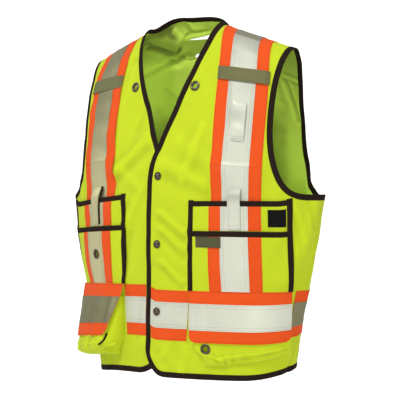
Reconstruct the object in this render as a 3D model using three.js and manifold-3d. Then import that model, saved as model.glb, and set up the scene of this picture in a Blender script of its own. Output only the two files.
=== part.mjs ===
// Surveyor safety vest, shown as worn. Millimetres, +Z up, the front faces -Y, the wearer's left is +X.
// The origin lies midway between the neck points at shoulder height.
import * as THREE from "three";
import Module from "manifold-3d";

const wasm = await Module();
wasm.setup();

// Driving sizes
const SQUARENESS = 2.05;
const UNDERARM_Z = -363;
const HEM_Z = -716;
const HEM_CORNER = { left: 45, right: 70 };
const HEM_SIDE_RISE = { left: 22, right: -8 };
const UNDERARM_LIFT = { most: 8, fade: 60, from_x: 250, to_x: 306 };
const NECK_HALF = 90;
const NECK_SHIFT = 6;
const NECK_Y = -44;
const NECK_RISE = 42;
const NECK_ROUND = 2.5;
const BACK_NECK_DIP = 0.05;
const TIP_HALF = 250;
const TIP_Y = -10;
const TIP_DROP = { left: 68, right: 52 };
const NECK_STEP = 6;
const NECK_STEP_RUN = 15;
const V_RISE = 0.27;
const V_EASE = 38;
const V_STRAIGHT = 0.38;
const LAP = { left: 24, right: 18 };
const LAP_LIFT = 3.6;
const LAP_FADE = { from: 30, to: 75 };
const TAPE_LEAN = 14;
const TAPE_BOW = 9;
const CLOTH = 1.5;
const BIND = 10;
const BIND_THICK = 3;
const GAP = 0.3;
const ORANGE_THICK = 0.8;
const SILVER_THICK = 0.6;
const POCKET_CLOTH = 1.2;
const SEAM_GAP = 0.002;
const ROUND_STEPS = 12;

// Body sections from the hem up to the underarm
const SECTIONS = [
  { z: -716, half_width: 232, front: 137, back: 125 },
  { z: -641, half_width: 246, front: 138, back: 115 },
  { z: -541, half_width: 268, front: 138, back: 105 },
  { z: -460, half_width: 286, front: 138, back: 102 },
  { z: -363, half_width: 306, front: 137, back: 100 },
];

// The wearer's right front hangs a little higher, most at the pocket's inner corner
const RIGHT_HANG = [
  { z: -716, lift: 0, tilt: 2 },
  { z: -541, lift: 4, tilt: 3 },
  { z: -422, lift: 5, tilt: 5 },
  { z: -363, lift: 5, tilt: 9 },
  { z: -250, lift: 0, tilt: 0 },
];

const HANG = { side: 300, fade: 60, centre: 20, level_x: 177, tilt_run: 95 };

// Hem lift at the sides: between two girth angles, growing down to the hem, part of it round the back
const SIDE_LIFT = { from: 0.85, to: 1.8, start_z: -480, back_from: 2.2, back_to: 3.1, back_share: 0.5 };

// How square the chest turns in to the shoulder line, from the middle to the side
const CHEST_TURN = { middle: 1.7, side: 2.5, from: 70, over: 90 };
const BACK_TURN = 2.5;

// Armhole edges: narrowest half width, how far up the corner reaches, corner power
const ARMHOLE = {
  front: { notch: 240, reach: 0.5, power: 2.2 },
  back: { notch: 222, reach: 0.5, power: 2.6 },
};
const FLARE_FROM = 0.55;

// Girth lines on the front, measured round from the centre, and on the back from the centre back
const FRONT_LINE = {
  tape_in: 123,
  silver_in: 148,
  silver_out: 203,
  tape_out: 228,
  pocket_out: 288,
};
const BACK_LINE = { neck: 78, tape_in: 98, silver_in: 122, silver_out: 177, tape_out: 202 };

// Waist band heights and chest pocket heights
const BAND = { top: -541, silver_top: -565, silver_bottom: -617, bottom: -641 };
const POCKET = { top: -363, front_top: -422, bottom: -540 };
const POCKET_IN = { left: 76, right: 84 };

// Broad folds: girth angle in degrees from the centre front, height, width and depth of the crest
const FOLD_RADIUS = 200;
const FOLDS = [
  { deg: 84, z: -372, to_deg: 66, to_z: -520, width: 20, depth: 5 },
  { deg: -84, z: -380, to_deg: -78, to_z: -520, width: 22, depth: 5 },
  { deg: 8, z: -262, to_deg: 24, to_z: -352, width: 22, depth: -4 },
  { deg: -6, z: -262, to_deg: -24, to_z: -350, width: 22, depth: -4 },
  { deg: 128, z: -392, to_deg: 140, to_z: -520, width: 34, depth: -4 },
  { deg: -128, z: -380, to_deg: -150, to_z: -520, width: 34, depth: 6 },
  { deg: 172, z: -300, to_deg: 168, to_z: -520, width: 30, depth: -5 },
  { deg: -166, z: -650, to_deg: -168, to_z: -716, width: 34, depth: 5 },
  { deg: 140, z: -650, to_deg: 142, to_z: -716, width: 34, depth: 5 },
];

const COLOUR = {
  lime: 0xc6dc1e,
  orange: 0xf0591f,
  silver: 0xd2d4c6,
  binding: 0x2c211c,
  webbing: 0x7d7c55,
  metal: 0x5a5048,
  black: 0x141414,
  olive: 0x5b5b3d,
};

const { clamp, lerp, smoothstep, degToRad } = THREE.MathUtils;
const QUARTER = Math.PI / 2;
const SIDE_NAME = { 1: "left", "-1": "right" };
const SIDES = [1, -1];

// Smooth curve through one column of a table whose rows rise in the column named by
function along(rows, at, key, by = "z") {
  const last = rows.length - 1;
  const v = clamp(at, rows[0][by], rows[last][by]);
  let i = 0;
  while (i < last - 1 && v > rows[i + 1][by]) i++;
  const slope = (k) => {
    const lo = rows[Math.max(k - 1, 0)];
    const hi = rows[Math.min(k + 1, last)];
    return (hi[key] - lo[key]) / (hi[by] - lo[by]);
  };
  const span = rows[i + 1][by] - rows[i][by];
  const t = (v - rows[i][by]) / span;
  const a = (2 * t ** 3 - 3 * t ** 2 + 1) * rows[i][key] + (3 * t ** 2 - 2 * t ** 3) * rows[i + 1][key];
  return a + ((t ** 3 - 2 * t ** 2 + t) * slope(i) + (t ** 3 - t ** 2) * slope(i + 1)) * span;
}

const neckHalf = (side) => NECK_HALF + side * NECK_SHIFT;

// Height of the shoulder line over x
function ridgeZ(x) {
  const side = x > 0 ? 1 : -1;
  const neck = neckHalf(side);
  const out = Math.abs(x) - neck;
  if (out < 0) return NECK_RISE * (1 - (Math.abs(x) / neck) ** NECK_ROUND);
  const drop = side > 0 ? TIP_DROP.left : TIP_DROP.right;
  const step = NECK_STEP * (1 - Math.exp(-out / NECK_STEP_RUN));
  return -((drop - NECK_STEP) * out) / (TIP_HALF - neck) - step;
}

function ridgeY(x) {
  const t = (Math.abs(x) - NECK_HALF) / (TIP_HALF - NECK_HALF);
  return NECK_Y + (TIP_Y - NECK_Y) * clamp(t, -1, 1.2);
}

// Height h runs along the cloth: z itself below the underarm, then up to 0 at the shoulder line
const climb = (h) => clamp(1 - h / UNDERARM_Z, 0, 1);
const riseOf = (h) => Math.sin(climb(h) * QUARTER);
const heightAtRise = (u) => UNDERARM_Z * (1 - Math.asin(clamp(u, 0, 1)) / QUARTER);

// Height h of a point known by x and z
function zHeight(x, z) {
  return z <= UNDERARM_Z ? z : heightAtRise((z - UNDERARM_Z) / (ridgeZ(x) - UNDERARM_Z));
}

function rightHang(x, h) {
  if (x >= 0) return 0;
  const reach = smoothstep(HANG.side - Math.abs(x), 0, HANG.fade) * clamp(-x / HANG.centre, 0, 1);
  const tilt = (along(RIGHT_HANG, h, "tilt") * (HANG.level_x - Math.abs(x))) / HANG.tilt_run;
  return (along(RIGHT_HANG, h, "lift") + tilt) * reach;
}

// Lift of the hem, and of the cloth round the underarm
function hemLift(q, h) {
  const side = HEM_SIDE_RISE[q > 0 ? "left" : "right"] * smoothstep(Math.abs(q), SIDE_LIFT.from, SIDE_LIFT.to);
  const behind = (SIDE_LIFT.back_share * (HEM_SIDE_RISE.left + HEM_SIDE_RISE.right)) / 2;
  const round = lerp(side, behind, smoothstep(Math.abs(q), SIDE_LIFT.back_from, SIDE_LIFT.back_to));
  return round * smoothstep(-h, -SIDE_LIFT.start_z, -HEM_Z);
}

function armLift(x, h) {
  const away = (h - UNDERARM_Z) / UNDERARM_LIFT.fade;
  const reach = smoothstep(Math.abs(x), UNDERARM_LIFT.from_x, UNDERARM_LIFT.to_x);
  return UNDERARM_LIFT.most * reach * Math.exp(-away * away);
}

// Point on the body at girth angle q (0 at the centre front, positive to the wearer's left) and height h
function skin(q, h) {
  const low = Math.min(h, UNDERARM_Z);
  const half = along(SECTIONS, low, "half_width");
  const front = Math.cos(q) > 0;
  const depth = along(SECTIONS, low, front ? "front" : "back");
  const x = half * Math.sign(Math.sin(q)) * Math.abs(Math.sin(q)) ** (2 / SQUARENESS);
  const y = (front ? -1 : 1) * depth * Math.abs(Math.cos(q)) ** (2 / SQUARENESS);
  if (h <= UNDERARM_Z) {
    const lift = hemLift(q, h) + armLift(x, h);
    return new THREE.Vector3(x, y, h + lift + (front ? rightHang(x, h) : 0));
  }
  const u = riseOf(h);
  const outward = clamp((Math.abs(x) - CHEST_TURN.from) / CHEST_TURN.over, 0, 1);
  const power = front ? lerp(CHEST_TURN.middle, CHEST_TURN.side, outward) : BACK_TURN;
  const ridge = ridgeY(x);
  const z = UNDERARM_Z + (ridgeZ(x) - UNDERARM_Z) * u;
  const lift = armLift(x, h) + (front ? rightHang(x, z) : 0);
  return new THREE.Vector3(x, ridge + (y - ridge) * Math.sqrt(1 - u ** power), z + lift);
}

function foldDepth(q, h) {
  let sum = 0;
  for (const f of FOLDS) {
    const a = new THREE.Vector2(degToRad(f.deg) * FOLD_RADIUS, f.z);
    const b = new THREE.Vector2(degToRad(f.to_deg) * FOLD_RADIUS, f.to_z);
    const p = new THREE.Vector2(q * FOLD_RADIUS, h).sub(a);
    const d = b.sub(a);
    const t = p.dot(d) / d.lengthSq();
    const away = p.sub(d.multiplyScalar(clamp(t, 0, 1))).length() / f.width;
    sum += f.depth * Math.exp(-away * away);
  }
  return sum;
}

// Point and outward normal, moved out by off
function spot(q, h, off = 0) {
  const top = Math.min(h + 1, -0.001);
  const across = skin(q + 0.004, h).sub(skin(q - 0.004, h));
  const up = skin(q, top).sub(skin(q, top - 2));
  const n = across.cross(up).normalize();
  return { p: skin(q, h).addScaledVector(n, off + foldDepth(q, h)), n, q, h };
}

const halfWidth = (h) => along(SECTIONS, Math.min(h, UNDERARM_Z), "half_width");

// Girth angle at a given x, and at a distance measured round the section from its centre
function angleAtX(x, h, back = false) {
  const r = clamp(Math.abs(x) / halfWidth(h), 0, 1);
  const q = Math.asin(r ** (SQUARENESS / 2));
  return Math.sign(x || 1) * (back ? Math.PI - q : q);
}

function angleAtGirth(girth, h, back = false) {
  const low = Math.min(h, UNDERARM_Z);
  const half = along(SECTIONS, low, "half_width");
  const depth = along(SECTIONS, low, back ? "back" : "front");
  const steps = 90;
  let run = 0;
  let x0 = 0;
  let y0 = depth;
  for (let i = 1; i <= steps; i++) {
    const q = (QUARTER * i) / steps;
    const x = half * Math.sin(q) ** (2 / SQUARENESS);
    const y = depth * Math.max(Math.cos(q), 0) ** (2 / SQUARENESS);
    const d = Math.hypot(x - x0, y - y0);
    if (run + d >= Math.abs(girth)) {
      const found = (QUARTER * (i - 1 + (Math.abs(girth) - run) / d)) / steps;
      return Math.sign(girth) * (back ? Math.PI - found : found);
    }
    run += d;
    x0 = x;
    y0 = y;
  }
  return Math.sign(girth) * QUARTER;
}

// Front edge and neckline, as x on the panel's own side
function edgeX(h, side) {
  const lap = side > 0 ? LAP.left : LAP.right;
  const u = h > UNDERARM_Z ? riseOf(h) : 0;
  if (u > V_RISE) {
    const t = (u - V_RISE) / (1 - V_RISE);
    return neckHalf(side) * lerp(Math.sin(t * QUARTER), t, V_STRAIGHT);
  }
  const span = NECK_RISE - UNDERARM_Z;
  const below = h > UNDERARM_Z ? (V_RISE - u) * span : V_RISE * span + UNDERARM_Z - h;
  return -lap * (1 - Math.exp(-below / V_EASE));
}

function armX(u, edge) {
  const half = halfWidth(UNDERARM_Z);
  const t = clamp(u / edge.reach, 0, 1);
  const corner = 1 - (1 - (1 - t) ** edge.power) ** (1 / edge.power);
  const flare = (TIP_HALF - edge.notch) * clamp((u - FLARE_FROM) / (1 - FLARE_FROM), 0, 1) ** 2;
  return edge.notch + (half - edge.notch) * corner + flare;
}

// The left front laps over the right one near the centre
function lapLift(side, x) {
  return side > 0 ? LAP_LIFT * (1 - smoothstep(x, LAP_FADE.from, LAP_FADE.to)) : 0;
}

// Tape lines above the underarm, as x on the panel's own side
function frontTapeX(name, h, side) {
  const start = Math.abs(skin(angleAtGirth(FRONT_LINE[name], UNDERARM_Z), UNDERARM_Z).x);
  const u = riseOf(h);
  const bow = side > 0 ? TAPE_BOW * Math.sin(Math.PI * climb(h)) ** 2 : 0;
  return start - TAPE_LEAN * u ** 2.5 + bow;
}

const tapeAcross = (share, h, side) =>
  lerp(frontTapeX("silver_in", h, side), frontTapeX("silver_out", h, side), share);

function frontSpot(side, girth, h, off = 0) {
  const q = side * angleAtGirth(girth, h);
  return spot(q, h, off + lapLift(side, girth));
}

// Solid builders: a grid of spots becomes a closed thin wall between two offsets
function shell(grid, top, bottom) {
  const rows = grid.length;
  const cols = grid[0].length;
  const pos = [];
  const index = [];
  const lift = (v, j, k) => (typeof v === "function" ? v(j, k) : v);
  for (const level of [top, bottom]) {
    grid.forEach((row, j) =>
      row.forEach((s, k) => {
        const p = s.p.clone().addScaledVector(s.n, lift(level, j, k));
        pos.push(p.x, p.y, p.z);
      })
    );
  }
  const base = rows * cols;
  const quad = (a, b, c, d) => index.push(a, b, c, a, c, d);
  for (let j = 0; j < rows - 1; j++) {
    for (let k = 0; k < cols - 1; k++) {
      const a = j * cols + k;
      const cell = [a, a + 1, a + cols + 1, a + cols];
      const bulge = grid[j][k].p.clone().add(grid[j + 1][k + 1].p);
      bulge.sub(grid[j][k + 1].p).sub(grid[j + 1][k].p);
      if (bulge.dot(grid[j][k].n) < 0) cell.push(cell.shift());
      quad(...cell);
      quad(...[0, 3, 2, 1].map((i) => cell[i] + base));
    }
  }
  const rim = [];
  for (let k = 0; k < cols - 1; k++) rim.push(k);
  for (let j = 0; j < rows - 1; j++) rim.push(j * cols + cols - 1);
  for (let k = cols - 1; k > 0; k--) rim.push((rows - 1) * cols + k);
  for (let j = rows - 1; j > 0; j--) rim.push(j * cols);
  rim.forEach((a, i) => {
    const b = rim[(i + 1) % rim.length];
    quad(b, a, base + a, base + b);
  });
  return closed(pos, index);
}

function closed(pos, index) {
  const g = new THREE.BufferGeometry();
  g.setAttribute("position", new THREE.Float32BufferAttribute(pos, 3));
  let volume = 0;
  const at = (i) => new THREE.Vector3().fromArray(pos, i * 3);
  for (let i = 0; i < index.length; i += 3) {
    volume += at(index[i]).dot(at(index[i + 1]).cross(at(index[i + 2])));
  }
  if (volume < 0) {
    for (let i = 0; i < index.length; i += 3) [index[i], index[i + 1]] = [index[i + 1], index[i]];
  }
  g.setIndex(index);
  return g;
}

// A bound edge: a strip inward from a path of spots; loop closes it on itself
function edging(path, hand, loop = false) {
  const count = path.length;
  const inward = path.map((s, i) => {
    const prev = loop ? path[(i + count - 1) % count] : path[Math.max(i - 1, 0)];
    const next = loop ? path[(i + 1) % count] : path[Math.min(i + 1, count - 1)];
    const t = s.t ? s.t.clone() : next.p.clone().sub(prev.p);
    return s.b ? s.b.clone() : t.cross(s.n).multiplyScalar(hand).normalize();
  });
  const upper = BIND_THICK / 2 - CLOTH / 2;
  const lower = upper - BIND_THICK;
  const pos = [];
  const index = [];
  path.forEach((s, i) => {
    for (const [width, off] of [[0, upper], [BIND, upper], [BIND, lower], [0, lower]]) {
      const p = s.p.clone().addScaledVector(inward[i], width).addScaledVector(s.n, off);
      pos.push(p.x, p.y, p.z);
    }
  });
  const last = loop ? count : count - 1;
  for (let i = 0; i < last; i++) {
    const a = i * 4;
    const b = ((i + 1) % count) * 4;
    for (let k = 0; k < 4; k++) {
      const m = (k + 1) % 4;
      index.push(a + k, a + m, b + m, a + k, b + m, b + k);
    }
  }
  if (!loop) {
    const e = (count - 1) * 4;
    index.push(0, 2, 1, 0, 3, 2, e, e + 1, e + 2, e, e + 2, e + 3);
  }
  return { geometry: closed(pos, index), inward };
}

function asManifold(geometry) {
  const mesh = new wasm.Mesh({
    numProp: 3,
    vertProperties: new Float32Array(geometry.attributes.position.array),
    triVerts: new Uint32Array(geometry.index.array),
  });
  mesh.merge();
  return new wasm.Manifold(mesh);
}

function cut(geometry, tools) {
  let body = asManifold(geometry);
  for (const tool of tools) body = body.subtract(asManifold(tool));
  const mesh = body.getMesh();
  return closed(Array.from(mesh.vertProperties), Array.from(mesh.triVerts));
}

// Turned parts stand on a spot with their axis along its normal
function turned(profile, segments, s, off) {
  const points = profile.map(([r, z]) => new THREE.Vector2(r, z));
  const lathe = new THREE.LatheGeometry(points, segments);
  lathe.rotateX(QUARTER);
  lathe.applyQuaternion(new THREE.Quaternion().setFromUnitVectors(new THREE.Vector3(0, 0, 1), s.n));
  const at = s.p.clone().addScaledVector(s.n, off);
  lathe.translate(at.x, at.y, at.z);
  return welded(lathe);
}

function welded(geometry) {
  const pos = geometry.attributes.position;
  const keys = new Map();
  const points = [];
  const remap = [];
  for (let i = 0; i < pos.count; i++) {
    const key = [pos.getX(i), pos.getY(i), pos.getZ(i)].map((v) => v.toFixed(3)).join();
    if (!keys.has(key)) {
      keys.set(key, points.length / 3);
      points.push(pos.getX(i), pos.getY(i), pos.getZ(i));
    }
    remap.push(keys.get(key));
  }
  const index = [];
  for (let i = 0; i < geometry.index.count; i += 3) {
    const t = [0, 1, 2].map((k) => remap[geometry.index.getX(i + k)]);
    if (t[0] !== t[1] && t[1] !== t[2] && t[0] !== t[2]) index.push(...t);
  }
  return closed(points, index);
}

const vest = new THREE.Group();
vest.name = "surveyor_vest";

function add(name, geometry, colour) {
  const shiny = colour === "silver" || colour === "metal";
  const material = new THREE.MeshStandardMaterial({
    color: COLOUR[colour],
    roughness: shiny ? 0.4 : 0.85,
    metalness: shiny ? 0.6 : 0,
    name: colour,
  });
  const mesh = new THREE.Mesh(geometry, material);
  mesh.name = name;
  vest.add(mesh);
}

// Rows shared by the panels and everything sewn on them
const cornerAngles = [90, 60, 30, 0].map(degToRad);
function cornerRows(side) {
  const radius = HEM_CORNER[SIDE_NAME[side]];
  const inner = radius - BIND - 2 * GAP;
  return cornerAngles.map((a) => HEM_Z + radius - inner * Math.sin(a));
}
const BAND_HEIGHTS = [BAND.bottom, BAND.silver_bottom, BAND.silver_top, BAND.top];
const TAPE_FOOT = -392;
const BODY_ROWS = [...BAND_HEIGHTS, -500, -461, POCKET.front_top, TAPE_FOOT, UNDERARM_Z];
const CLIMB_ROWS = [0.04, 0.09, 0.16, 0.26, 0.37, 0.48, 0.6, 0.72, 0.83, 0.92, 0.97, 0.997];
const climbHeight = (t) => UNDERARM_Z * (1 - t);
const frontHeights = (side) => [...cornerRows(side), ...BODY_ROWS, ...CLIMB_ROWS.map(climbHeight)];
const rowAt = (h) => frontHeights(1).indexOf(h);
const UNDERARM_ROW = rowAt(UNDERARM_Z);
const TAPE_FOOT_ROW = rowAt(TAPE_FOOT);

// Edge paths, kept for the panels' borders
function frontEdgePath(side) {
  const path = [];
  const radius = HEM_CORNER[SIDE_NAME[side]];
  const centre = radius - LAP[SIDE_NAME[side]];
  for (const a of cornerAngles.slice(0, 3)) {
    const x = centre - radius * Math.cos(a);
    const h = HEM_Z + radius * (1 - Math.sin(a));
    const s = spot(side * angleAtX(x, h), h, lapLift(side, x));
    if (a > 1.5) s.t = new THREE.Vector3(-side, 0, 0);
    path.push(s);
  }
  for (const h of frontHeights(side).slice(cornerAngles.length - 1)) {
    const x = edgeX(h, side);
    path.push(spot(side * angleAtX(x, h), h, lapLift(side, x)));
  }
  return path;
}

const backNeckRise = (x) => {
  const t = (x - NECK_SHIFT) / NECK_HALF;
  return 1 - BACK_NECK_DIP * (1 - t * t);
};
const NECK_SPLIT = [0.72, 0.38, 0, -0.38, -0.72];
const backNeckPath = NECK_SPLIT.map((f) => {
  const x = NECK_SHIFT + NECK_HALF * f;
  const h = heightAtRise(backNeckRise(x));
  return spot(angleAtX(x, h, true), h);
});

const leftEdge = frontEdgePath(1);
const rightEdge = frontEdgePath(-1);
rightEdge[0].t = new THREE.Vector3(-1, 0, 0);
const neckPath = [...leftEdge, ...backNeckPath, ...rightEdge.slice().reverse()];
const neckBinding = edging(neckPath, 1);

function armPath(side) {
  const at = (t, edge, back) => {
    const h = climbHeight(t);
    return spot(side * angleAtX(armX(riseOf(h), edge), h, back), h);
  };
  const start = spot(side * QUARTER, UNDERARM_Z);
  start.b = new THREE.Vector3(0, 0, -1);
  const front = CLIMB_ROWS.map((t) => at(t, ARMHOLE.front, false));
  const back = CLIMB_ROWS.map((t) => at(t, ARMHOLE.back, true));
  front.pop();
  return { path: [start, ...front, ...back.reverse()], front: front.length };
}
const arms = { 1: armPath(1), "-1": armPath(-1) };
const armBinding = { 1: edging(arms[1].path, -1, true), "-1": edging(arms[-1].path, 1, true) };

// Panel border vertex: the edge path moved in past the binding
const borderSpot = (s, inward) => ({ p: s.p.clone().addScaledVector(inward, BIND + GAP), n: s.n });

// Front panels: columns run from the front edge over the marked lines to the side
const TAPE_LINES = ["tape_in", "silver_in", "silver_out", "tape_out"];
const panelGirths = (side) => [POCKET_IN[SIDE_NAME[side]], ...Object.values(FRONT_LINE)];
const TAPE_COLUMN = 4;
const EDGE_SHARES = [0.36, 0.68];
const CHEST_SHARES = [0.24, 0.47, 0.73];
const ARM_SHARES = [0.42, 0.72];
const UNDERARM_DIP = { front: [3, 9], back: 8 };

function frontGrid(side) {
  const edge = side > 0 ? leftEdge : rightEdge;
  const first = side > 0 ? 0 : neckPath.length - 1;
  return frontHeights(side).map((h, j) => {
    const border = borderSpot(edge[j], neckBinding.inward[first + side * j]);
    if (j <= UNDERARM_ROW) {
      const q0 = angleAtX(side * border.p.x, h);
      const marks = panelGirths(side).map((girth) => angleAtGirth(girth, h));
      const seam = QUARTER - SEAM_GAP;
      const near = EDGE_SHARES.map((f) => lerp(q0, marks[0], f));
      const angles = [...near, ...marks, lerp(marks[5], seam, 0.5), seam];
      const row = angles.map((q) => {
        const x = Math.sin(q) * halfWidth(h);
        return spot(side * q, h, lapLift(side, x));
      });
      if (j === UNDERARM_ROW) {
        row[7] = spot(side * angles[7], h - UNDERARM_DIP.front[0]);
        row[8] = spot(side * angles[8], h - UNDERARM_DIP.front[1]);
        row[9] = armBorder(side, 0);
      }
      return [border, ...row];
    }
    const x0 = side * border.p.x;
    const tape = TAPE_LINES.map((name) => frontTapeX(name, h, side));
    const rim = armBorder(side, j - UNDERARM_ROW);
    const out = side * rim.p.x;
    const rimH = zHeight(rim.p.x, rim.p.z);
    const xs = [...CHEST_SHARES.map((f) => lerp(x0, tape[0], f)), ...tape];
    const row = xs.map((x) => spot(side * angleAtX(x, h), h, lapLift(side, x)));
    for (const f of ARM_SHARES) {
      const low = lerp(h, rimH, f);
      row.push(spot(side * angleAtX(lerp(tape[3], out, f), low), low));
    }
    return [border, ...row, rim];
  });
}

// Border by the armhole: index 0 is the underarm, then up the front rows
function armBorder(side, i) {
  const at = Math.min(i, arms[side].front + 1);
  return borderSpot(arms[side].path[at], armBinding[side].inward[at]);
}

// Back panel columns run from the wearer's left seam to the right seam
const BACK_NAMES = ["tape_out", "silver_out", "silver_in", "tape_in"];

function backArmBorder(side, i) {
  const path = arms[side].path;
  const at = i === 0 ? 0 : path.length - i;
  return borderSpot(path[at], armBinding[side].inward[at]);
}

function backSpot(x, h) {
  return spot(angleAtX(x, h, true), h);
}

function backGrid() {
  const [foot, , , cornerTop] = cornerRows(1);
  const bodyRows = [foot, cornerTop, ...BODY_ROWS];
  const grid = bodyRows.map((h) => {
    const half = (side) => {
      const marks = BACK_NAMES.map((name) => angleAtGirth(side * BACK_LINE[name], h, true));
      const neck = angleAtGirth(side * BACK_LINE.neck, h, true);
      const seam = side * (QUARTER + SEAM_GAP);
      return [seam, lerp(seam, marks[0], 0.5), ...marks, neck];
    };
    const left = half(1);
    const right = half(-1).reverse();
    const mid = NECK_SPLIT.map((f) => angleAtGirth(f * BACK_LINE.neck || 0.001, h, true));
    const row = [...left, ...mid, ...right].map((q) => spot(q, h));
    if (h === UNDERARM_Z) {
      const end = row.length - 1;
      row[0] = backArmBorder(1, 0);
      row[1] = spot(row[1].q, h - UNDERARM_DIP.back);
      row[end - 1] = spot(row[end - 1].q, h - UNDERARM_DIP.back);
      row[end] = backArmBorder(-1, 0);
    }
    return row;
  });
  const footX = (girth) => skin(angleAtGirth(girth, UNDERARM_Z, true), UNDERARM_Z).x;
  CLIMB_ROWS.forEach((t, i) => {
    const share = t / CLIMB_ROWS[CLIMB_ROWS.length - 1];
    const h = climbHeight(t);
    const top = i === CLIMB_ROWS.length - 1;
    const half = (side) => {
      const border = backArmBorder(side, i + 1);
      const tapes = BACK_NAMES.map((name) => {
        return side * lerp(footX(BACK_LINE[name]), frontTapeX(name, 0, side), share);
      });
      const low = lerp(h, zHeight(border.p.x, border.p.z), 0.5);
      const beside = backSpot(lerp(border.p.x, tapes[0], 0.5), low);
      const row = [border, beside, ...tapes.map((x) => backSpot(x, h))];
      const neckX = side * lerp(footX(BACK_LINE.neck), neckHalf(side) + BIND + GAP, share);
      const at = side > 0 ? leftEdge.length - 1 : leftEdge.length + NECK_SPLIT.length;
      row.push(top ? borderSpot(neckPath[at], neckBinding.inward[at]) : backSpot(neckX, h));
      return row;
    };
    const mid = NECK_SPLIT.map((f, k) => {
      const at = leftEdge.length + k;
      const end = borderSpot(neckPath[at], neckBinding.inward[at]);
      if (top) return end;
      const most = climb(zHeight(end.p.x, end.p.z));
      const x = lerp(footX(f * BACK_LINE.neck || 0.001), end.p.x, share);
      return backSpot(x, climbHeight(share * most));
    });
    grid.push([...half(1), ...mid, ...half(-1).reverse()]);
  });
  return grid;
}

const fronts = { 1: frontGrid(1), "-1": frontGrid(-1) };
const back = backGrid();

// Eyelets: a barrel through the cloth and a rounded flange on it, as radius and height
const EYELET_HOLE = 5.6;
const EYELET_PROFILE = [
  [4.8, -3],
  [5.2, -3],
  [5.2, 0],
  [9.2, 0],
  [8.8, 1.2],
  [7, 2],
  [4.8, 1.2],
  [4.8, -3],
];
const NECK_EYELET = { left: { x: 78, z: -134 }, right: { x: 75, z: -128 } };
const NECK_EYELET_SEAT = 1.4;
const neckEyelet = (side) => {
  const { x, z } = NECK_EYELET[SIDE_NAME[side]];
  const h = zHeight(side * x, z);
  return spot(side * angleAtX(x, h), h);
};
function drill(s, deep = 12) {
  const profile = [[0, -deep], [EYELET_HOLE, -deep], [EYELET_HOLE, deep], [0, deep]];
  return turned(profile, ROUND_STEPS, s, 0);
}
const eyelet = (s, off) => turned(EYELET_PROFILE, ROUND_STEPS, s, off);

for (const side of SIDES) {
  const wall = shell(fronts[side], 0, -CLOTH);
  add(`front_panel_${SIDE_NAME[side]}`, cut(wall, [drill(neckEyelet(side))]), "lime");
  add(`neck_eyelet_${SIDE_NAME[side]}`, eyelet(neckEyelet(side), NECK_EYELET_SEAT), "metal");
}

// Back slot with a cross strip
const SLOT = { half: 46, deep: 60, top: -18, bottom: -52, strip_top: -25, strip_bottom: -44 };
const STRIP = { thick: 1.2, end_drop: 2.4, drop: 3.2 };
const STRIP_SHARES = [-1.3, -1.04, -0.5, 0, 0.5, 1.04, 1.3];
const slotSpot = (x, z) => backSpot(x, zHeight(x, z));
function slotTool() {
  const z = (SLOT.top + SLOT.bottom) / 2;
  const box = new THREE.BoxGeometry(2 * SLOT.half, SLOT.deep, SLOT.top - SLOT.bottom);
  box.translate(NECK_SHIFT, slotSpot(NECK_SHIFT, z).p.y, z);
  return welded(box);
}
add("back_panel", cut(shell(back, 0, -CLOTH), [slotTool()]), "lime");
const stripGrid = [SLOT.strip_bottom, SLOT.strip_top].map((z) =>
  STRIP_SHARES.map((f) => slotSpot(NECK_SHIFT + f * SLOT.half, z))
);
function stripTop(j, k) {
  const end = k === 0 || k === STRIP_SHARES.length - 1;
  return -CLOTH - (end ? STRIP.end_drop : STRIP.drop);
}
const stripBottom = (j, k) => stripTop(j, k) - STRIP.thick;
add("back_slot_strip", shell(stripGrid, stripTop, stripBottom), "lime");

// Bindings
add("neck_front_binding", neckBinding.geometry, "binding");
for (const side of SIDES) {
  add(`armhole_binding_${SIDE_NAME[side]}`, armBinding[side].geometry, "binding");
}

function hemPath() {
  const foot = (side, q, x) => {
    const s = spot(q, HEM_Z, lapLift(side, x));
    s.b = new THREE.Vector3(0, 0, 1);
    return s;
  };
  const half = (side) => {
    const start = HEM_CORNER[SIDE_NAME[side]] - LAP[SIDE_NAME[side]] + 0.4;
    const rest = fronts[side][0].slice(1, -1).map((s) => foot(side, s.q, Math.abs(s.p.x)));
    return [foot(side, side * angleAtX(start, HEM_Z), start), ...rest];
  };
  return [...half(1), ...back[0].map((s) => foot(-1, s.q, 300)), ...half(-1).reverse()];
}
add("hem_binding", edging(hemPath(), 1).geometry, "binding");

// Marking tape over the shoulders: up the front from inside the pocket, down the back to the waist band
const ORANGE_OFF = [GAP + ORANGE_THICK, GAP];
const SILVER_OFF = [2 * GAP + ORANGE_THICK + SILVER_THICK, 2 * GAP + ORANGE_THICK];
const TOP_OFF = SILVER_OFF[0] + GAP;

function shoulderTape(side) {
  const end = TAPE_COLUMN + TAPE_LINES.length;
  const front = fronts[side].slice(TAPE_FOOT_ROW, -1).map((row) => row.slice(TAPE_COLUMN, end));
  const crest = TAPE_LINES.map((name) => {
    const x = side * frontTapeX(name, 0, side);
    return spot(angleAtX(x, -0.01), -0.01);
  });
  const bandRow = back.findIndex((row) => row[8].h === BAND.top);
  const behind = back.slice(bandRow, -1).map((row, j) => {
    const four = side > 0 ? row.slice(2, 6).reverse() : row.slice(-6, -2);
    return j > 0 ? four : four.map((s) => spot(s.q, s.h + 1));
  });
  return [...front, crest, ...behind.reverse()];
}
for (const side of SIDES) {
  const grid = shoulderTape(side);
  const silver = grid.map((row) => row.slice(1, 3));
  add(`shoulder_tape_orange_${SIDE_NAME[side]}`, shell(grid, ...ORANGE_OFF), "orange");
  add(`shoulder_tape_silver_${SIDE_NAME[side]}`, shell(silver, ...SILVER_OFF), "silver");
}

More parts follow.
